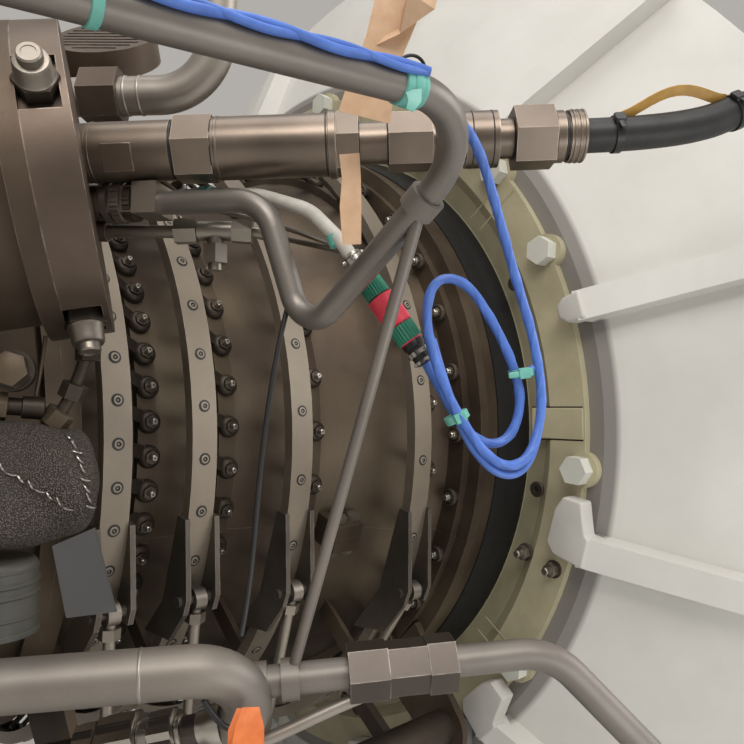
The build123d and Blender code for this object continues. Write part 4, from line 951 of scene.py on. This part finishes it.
# ---- drain end: black tie loop and orange strap
curve_tube("drain_loop", [(447.4, -690.7, -167.4), (450.7, -693.5, -176.2), (456.2, -698.3, -184.9),
                          (462.7, -704.2, -190.1), (468.6, -709.7, -186.4), (472.2, -713.4, -174)],
           2.3, "black")
ribbon("orange_strap", [(466, -724, -168), (461, -730, -178), (457, -733, -192), (455, -736, -212)],
       [12, 20, 23, 22], "orange", (0.73, -0.68, 0), 3.0)
ribbon("orange_back", [(464, -718, -170), (459, -722, -182), (456, -726, -208)], [10, 18, 20],
       "orange", (0.73, -0.68, 0), 2.4)

# ---- bright nuts of the branch line
branch_end = Vector((491.5, -672, -201))
branch_line = Vector((-68, 74, -23)).normalized()


def on_branch(distance):
    return branch_end + branch_line * distance


chrome = Build()
for start, stop, across in ((51, 71, 35.4), (81, 113, 41.4), (115, 133, 37.4)):
    chrome.hexagon(on_branch(start), branch_line, across, stop - start)
for start, stop, radius in ((71, 81, 16.8), (46, 51, 14.0), (113, 115, 17.0)):
    chrome.drum(on_branch(start), branch_line, radius, stop - start)
chrome.lathe(on_branch(14), branch_line, [(16.5, 0), (16.2, 8), (13.4, 14), (12.4, 20)], 32)
chrome.piece("branch_nuts", ["bright"])

# ---- small drain line between the two unions
curve_tube("small_line", [(598, -750, -176), (570, -728, -186), (530, -700, -206), (480, -664, -232),
                          (440, -618, -236), (428, -604, -222)], 5.2, "pipe")

# ---- pale plate on the first bracket
plate = [Vector(corner) for corner in ((417.1, -471.1, -84.8), (469.0, -440.3, -79.1),
                                       (496.8, -430.7, -170.0), (433.3, -463.6, -155.7))]
plate += [point + Vector((2.2, 2.0, 0)) for point in plate]
plate_faces = [(0, 1, 2, 3), (7, 6, 5, 4), (0, 4, 5, 1), (1, 5, 6, 2), (2, 6, 7, 3), (3, 7, 4, 0)]
mesh_object("bracket_plate", [point * MM for point in plate], plate_faces, ["grey_paint"], "ring_1", None)

# ---- intake flange: raised pads, dark plugs and joint studs on its face
FACE_X = 1085.0
PAD_COUNT = 10
PAD_R = 573
PAD_LENGTH = 84
PLUG_COUNT = 11
PLUG_R = 546
flange_face = Build()
for k in range(PAD_COUNT):
    angle = 1.0 + 360 * k / PAD_COUNT
    radial = outward(angle)
    across = radial.cross(BACK)
    centre = polar(FACE_X, PAD_R, angle)
    plain = k % 5 > 0
    if plain:
        reach, depth, shade = 14, 1.2, 0
    else:
        reach, depth, shade = 23.2, 0.35, 1
        flange_face.flat_pad(centre + BACK * -0.4, radial, BACK, PAD_LENGTH, 44, 1.6, 0, 2.5)
    for side in (-1, 1):
        seat = centre + across * side * reach
        flange_face.flat_pad(seat, radial, BACK, PAD_LENGTH, 1.8, depth, shade, 0.6)
plug_profile = [(11.5, -0.5), (11.5, 2.2), (10.4, 3.2), (5.0, 3.2), (4.4, 1.6), (0.01, 1.6)]
for k in range(PLUG_COUNT):
    seat = polar(FACE_X, PLUG_R, -9.2 + 360 * k / PLUG_COUNT)
    flange_face.lathe(seat, BACK, plug_profile, 28, [2, 2, 2, 1, 1])
for angle in (-19.3, 160.7):
    for reach in (549, 600):
        foot = polar(FACE_X, reach, angle)
        flange_face.lathe(foot, BACK, [(13, -0.5), (13, 2.0), (12, 2.8), (7, 2.8)], 24, 2)
        flange_face.hexagon(foot + BACK * 2.4, BACK, 19, 10, 3, 0.4)
        flange_face.lathe(foot + BACK * 12, BACK, [(5.6, 0), (5.6, 11), (4.4, 12.4), (0.01, 12.4)], 16, 3)
flange_face.piece("flange_face_details", ["cream", "black", "lever", "bolt"])

# ---- rib roots: each rib runs over the flange's edge, and the lower ones turn towards the middle
RIB_COUNT = 12
RIB_FIRST = 15.5
ROOT_SPAN = (1056.5, 1084.6)
LOW_ROOT = [(654, -20.5), (606, -19), (592, -6), (594, 44), (603, 64), (632, 66), (640, 44), (648, 24),
            (654, 21)]
HIGH_ROOT = [(654, -20.5), (626, -18), (614, -8), (614, 9), (626, 18), (654, 20.5)]
for k in range(RIB_COUNT):
    radial = outward(RIB_FIRST + 360 * k / RIB_COUNT)
    across = radial.cross(Vector((1, 0, 0)))
    outline = LOW_ROOT if radial.z < 0 else HIGH_ROOT
    corners = []
    for x in ROOT_SPAN:
        corners.extend((radial * reach + across * side + Vector((x, 0, 0))) * MM for reach, side in outline)
    count = len(outline)
    faces = [tuple(range(count)), tuple(range(2 * count - 1, count - 1, -1))]
    faces.extend((i, i + count, (i + 1) % count + count, (i + 1) % count) for i in range(count))
    piece = mesh_object(f"rib_root_{k + 1}", corners, faces, ["root"], angle=None)
    modifier = piece.modifiers.new("round", "BEVEL")
    modifier.width = 4.5 * MM
    modifier.segments = 4
    piece.data.shade_smooth()

# ---- valve wrap: knitted wire mesh with wire stitches
WRAP_ROWS = 60
WRAP_COLUMNS = 96
WRAP_START = -2
WRAP_LENGTH = 125
jacket_a = Vector((290, -560, -12))
jacket_b = Vector((408, -588, -12))
jacket_way = (jacket_b - jacket_a).normalized()
jacket_side = Vector((0, 0, 1))
jacket_out = jacket_side.cross(jacket_way).normalized()


def lump(distance, turn):
    """Radius of the wrap at a distance along it and a turn round it."""
    share = max(0.0, min(1.0, distance / (jacket_b - jacket_a).length))
    end = sqrt(max(0.0, 1 - (2 * share - 1) ** 6))
    radius = 43.5 + 2.5 * sin(2 * turn + 0.5) + 1.8 * sin(3 * turn + distance * 0.05)
    radius += 5.5 * max(0.0, 1 - abs(share - 0.25) * 3.2) + 2.5 * sin(distance * 0.11 + turn * 2)
    return radius * (0.25 + 0.75 * end)


def wrap_spoke(turn):
    return jacket_side * cos(turn) + jacket_out * sin(turn)


wrap_vertices = []
for row in range(WRAP_ROWS + 1):
    distance = WRAP_START + WRAP_LENGTH * row / WRAP_ROWS
    for column in range(WRAP_COLUMNS):
        turn = 2 * pi * column / WRAP_COLUMNS
        point = jacket_a + jacket_way * distance + wrap_spoke(turn) * lump(distance, turn)
        wrap_vertices.append(point * MM)
wrap_faces = ring_faces(WRAP_ROWS + 1, WRAP_COLUMNS) + end_faces(WRAP_ROWS + 1, WRAP_COLUMNS)
jacket = mesh_object("wire_wrap", wrap_vertices, wrap_faces, ["knit"], angle=70)
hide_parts("insulation_jacket")

for label, start, stop, first, last, count in (
    ("a", 8, 96, -0.35, -1.95, 15), ("b", 100, 112, -0.5, -2.0, 9),
):
    for k in range(count):
        share = k / (count - 1)
        distance = start + (stop - start) * share
        turn = first + (last - first) * share
        spoke = wrap_spoke(turn)
        centre = jacket_a + jacket_way * distance + spoke * (lump(distance, turn) - 1.0)
        lean = 0.5 + 0.4 * sin(k * 2.1)
        axis = jacket_way * lean + jacket_side * 0.4 + spoke * 0.1
        torus(f"stitch_{label}{k + 1}", centre, axis, 4.6, 0.75, "bright", 16)

# ---- canister: beads round it
can_lines = Build()
for height, radius, width in ((-74, 32.6, 3), (-84, 33.2, 4), (-92, 33.2, 4), (-108, 32.7, 2.5),
                              (-121, 33.4, 5)):
    can_lines.band((335, -578, height), (0, 0, 1), radius, width, 0, 1.0, 44)
can_lines.piece("canister_beads", ["canister"])

# ---- small fittings between the can cover and the wrap
curve_tube("sense_line", [(402.5, -585.6, 108), (402.9, -585, 90), (397, -579, 66), (390, -573, 46),
                          (383, -569, 34), (372, -562, 22)], 5.0, "lever")
port = (352, -566, 74)
port_line = (-0.5, -0.85, 0.1)
spool_line = (-1, 0.3, 0.1)
fittings = Build()
for place, axis, across, height, shade in (
    ((402.6, -585.4, 94), (0, 0, -1), 17, 12, 0), ((396, -578.5, 64), (-0.3, 0.3, -1), 18, 13, 0),
    ((388, -572.5, 42), (-0.6, 0.4, -0.9), 20, 14, 1), ((350, -560, 46), spool_line, 20, 12, 1),
    (port, port_line, 24, 14, 1),
):
    fittings.hexagon(place, axis, across, height, shade)
fittings.lathe((376, -566, 44), spool_line, [(8, 0), (9, 1), (9, 16), (7, 17), (7, 30), (9, 31), (9, 44),
                                             (8, 45)], 20)
fittings.lathe(port, port_line, [(16, -8), (16, 1), (12, 1.5)], 24)
fittings.piece("sense_fittings", ["lever", "casing"])
curve_tube("sense_wire", [(376, -567, 102), (374, -566, 80), (370, -562, 50)], 1.6, "casing")

# ---- weld beads on the bleed and drain pipes
bleed_start = Vector((345, -322, 351))
bleed_way = (Vector((558, -520, 358)) - bleed_start).normalized()
drain_start = Vector((309, -601, -149))
drain_way = (Vector((497, -712, -148)) - drain_start).normalized()
beads = Build()
for distance in (200, 214):
    beads.lathe(bleed_start + bleed_way * distance, bleed_way,
                [(18.6, 0), (19.6, 0.8), (19.8, 1.8), (19.5, 2.8), (18.6, 3.6)], 36)
beads.lathe(drain_start + drain_way * 118, drain_way,
            [(18.7, 0), (19.4, 0.8), (19.5, 1.6), (19.4, 2.4), (18.7, 3.2)], 36)
beads.piece("weld_beads", ["pipe"])

# ---- stage and light
FLOOR_REACH = 12
FLOOR_LEVEL = -1.0
floor_mesh = bpy.data.meshes.new("floor")
floor_corners = [(x * FLOOR_REACH, y * FLOOR_REACH, FLOOR_LEVEL)
                 for x, y in ((-1, -1), (1, -1), (1, 1), (-1, 1))]
floor_mesh.from_pydata(floor_corners, [], [(0, 1, 2, 3)])
floor_shader = Shader("stage_floor", specular=0.2)
floor_shader.colour((0.72, 0.71, 0.69))
floor_shader.roughness(0.8)
floor_mesh.materials.append(floor_shader.material)
floor = bpy.data.objects.new("floor", floor_mesh)
scene.collection.objects.link(floor)

world = bpy.data.worlds.new("studio")
scene.world = world
world.use_nodes = True
background = world.node_tree.nodes["Background"]
background.inputs["Color"].default_value = (0.85, 0.81, 0.76, 1)
background.inputs["Strength"].default_value = 0.52


def area_light(name, place, target, size, power, tint=(1, 1, 1)):
    data = bpy.data.lights.new(name, "AREA")
    data.shape = "RECTANGLE"
    data.size, data.size_y = size
    data.energy = power
    data.color = tint
    lamp = bpy.data.objects.new(name, data)
    scene.collection.objects.link(lamp)
    lamp.location = place
    direction = Vector(target) - Vector(place)
    lamp.rotation_euler = direction.to_track_quat("-Z", "Y").to_euler()


area_light("key", (-0.4, -2.6, 2.4), (0.7, -0.3, 0.0), (2.4, 1.6), 62, (1.0, 0.98, 0.95))
area_light("left", (-0.35, -1.5, 1.15), (0.42, -0.6, 0.25), (0.5, 0.25), 3.5, (1.0, 0.97, 0.93))
area_light("low", (0.75, -1.65, -0.35), (1.25, -0.8, -0.35), (0.8, 0.5), 3.0, (0.93, 0.97, 1.0))
area_light("fill", (2.6, -2.2, 0.8), (0.8, -0.4, 0.0), (1.6, 1.6), 25, (0.96, 0.98, 1.0))
area_light("top", (0.6, -0.6, 3.2), (0.6, -0.3, 0.0), (2.2, 2.2), 38)

scene.view_settings.view_transform = "Standard"
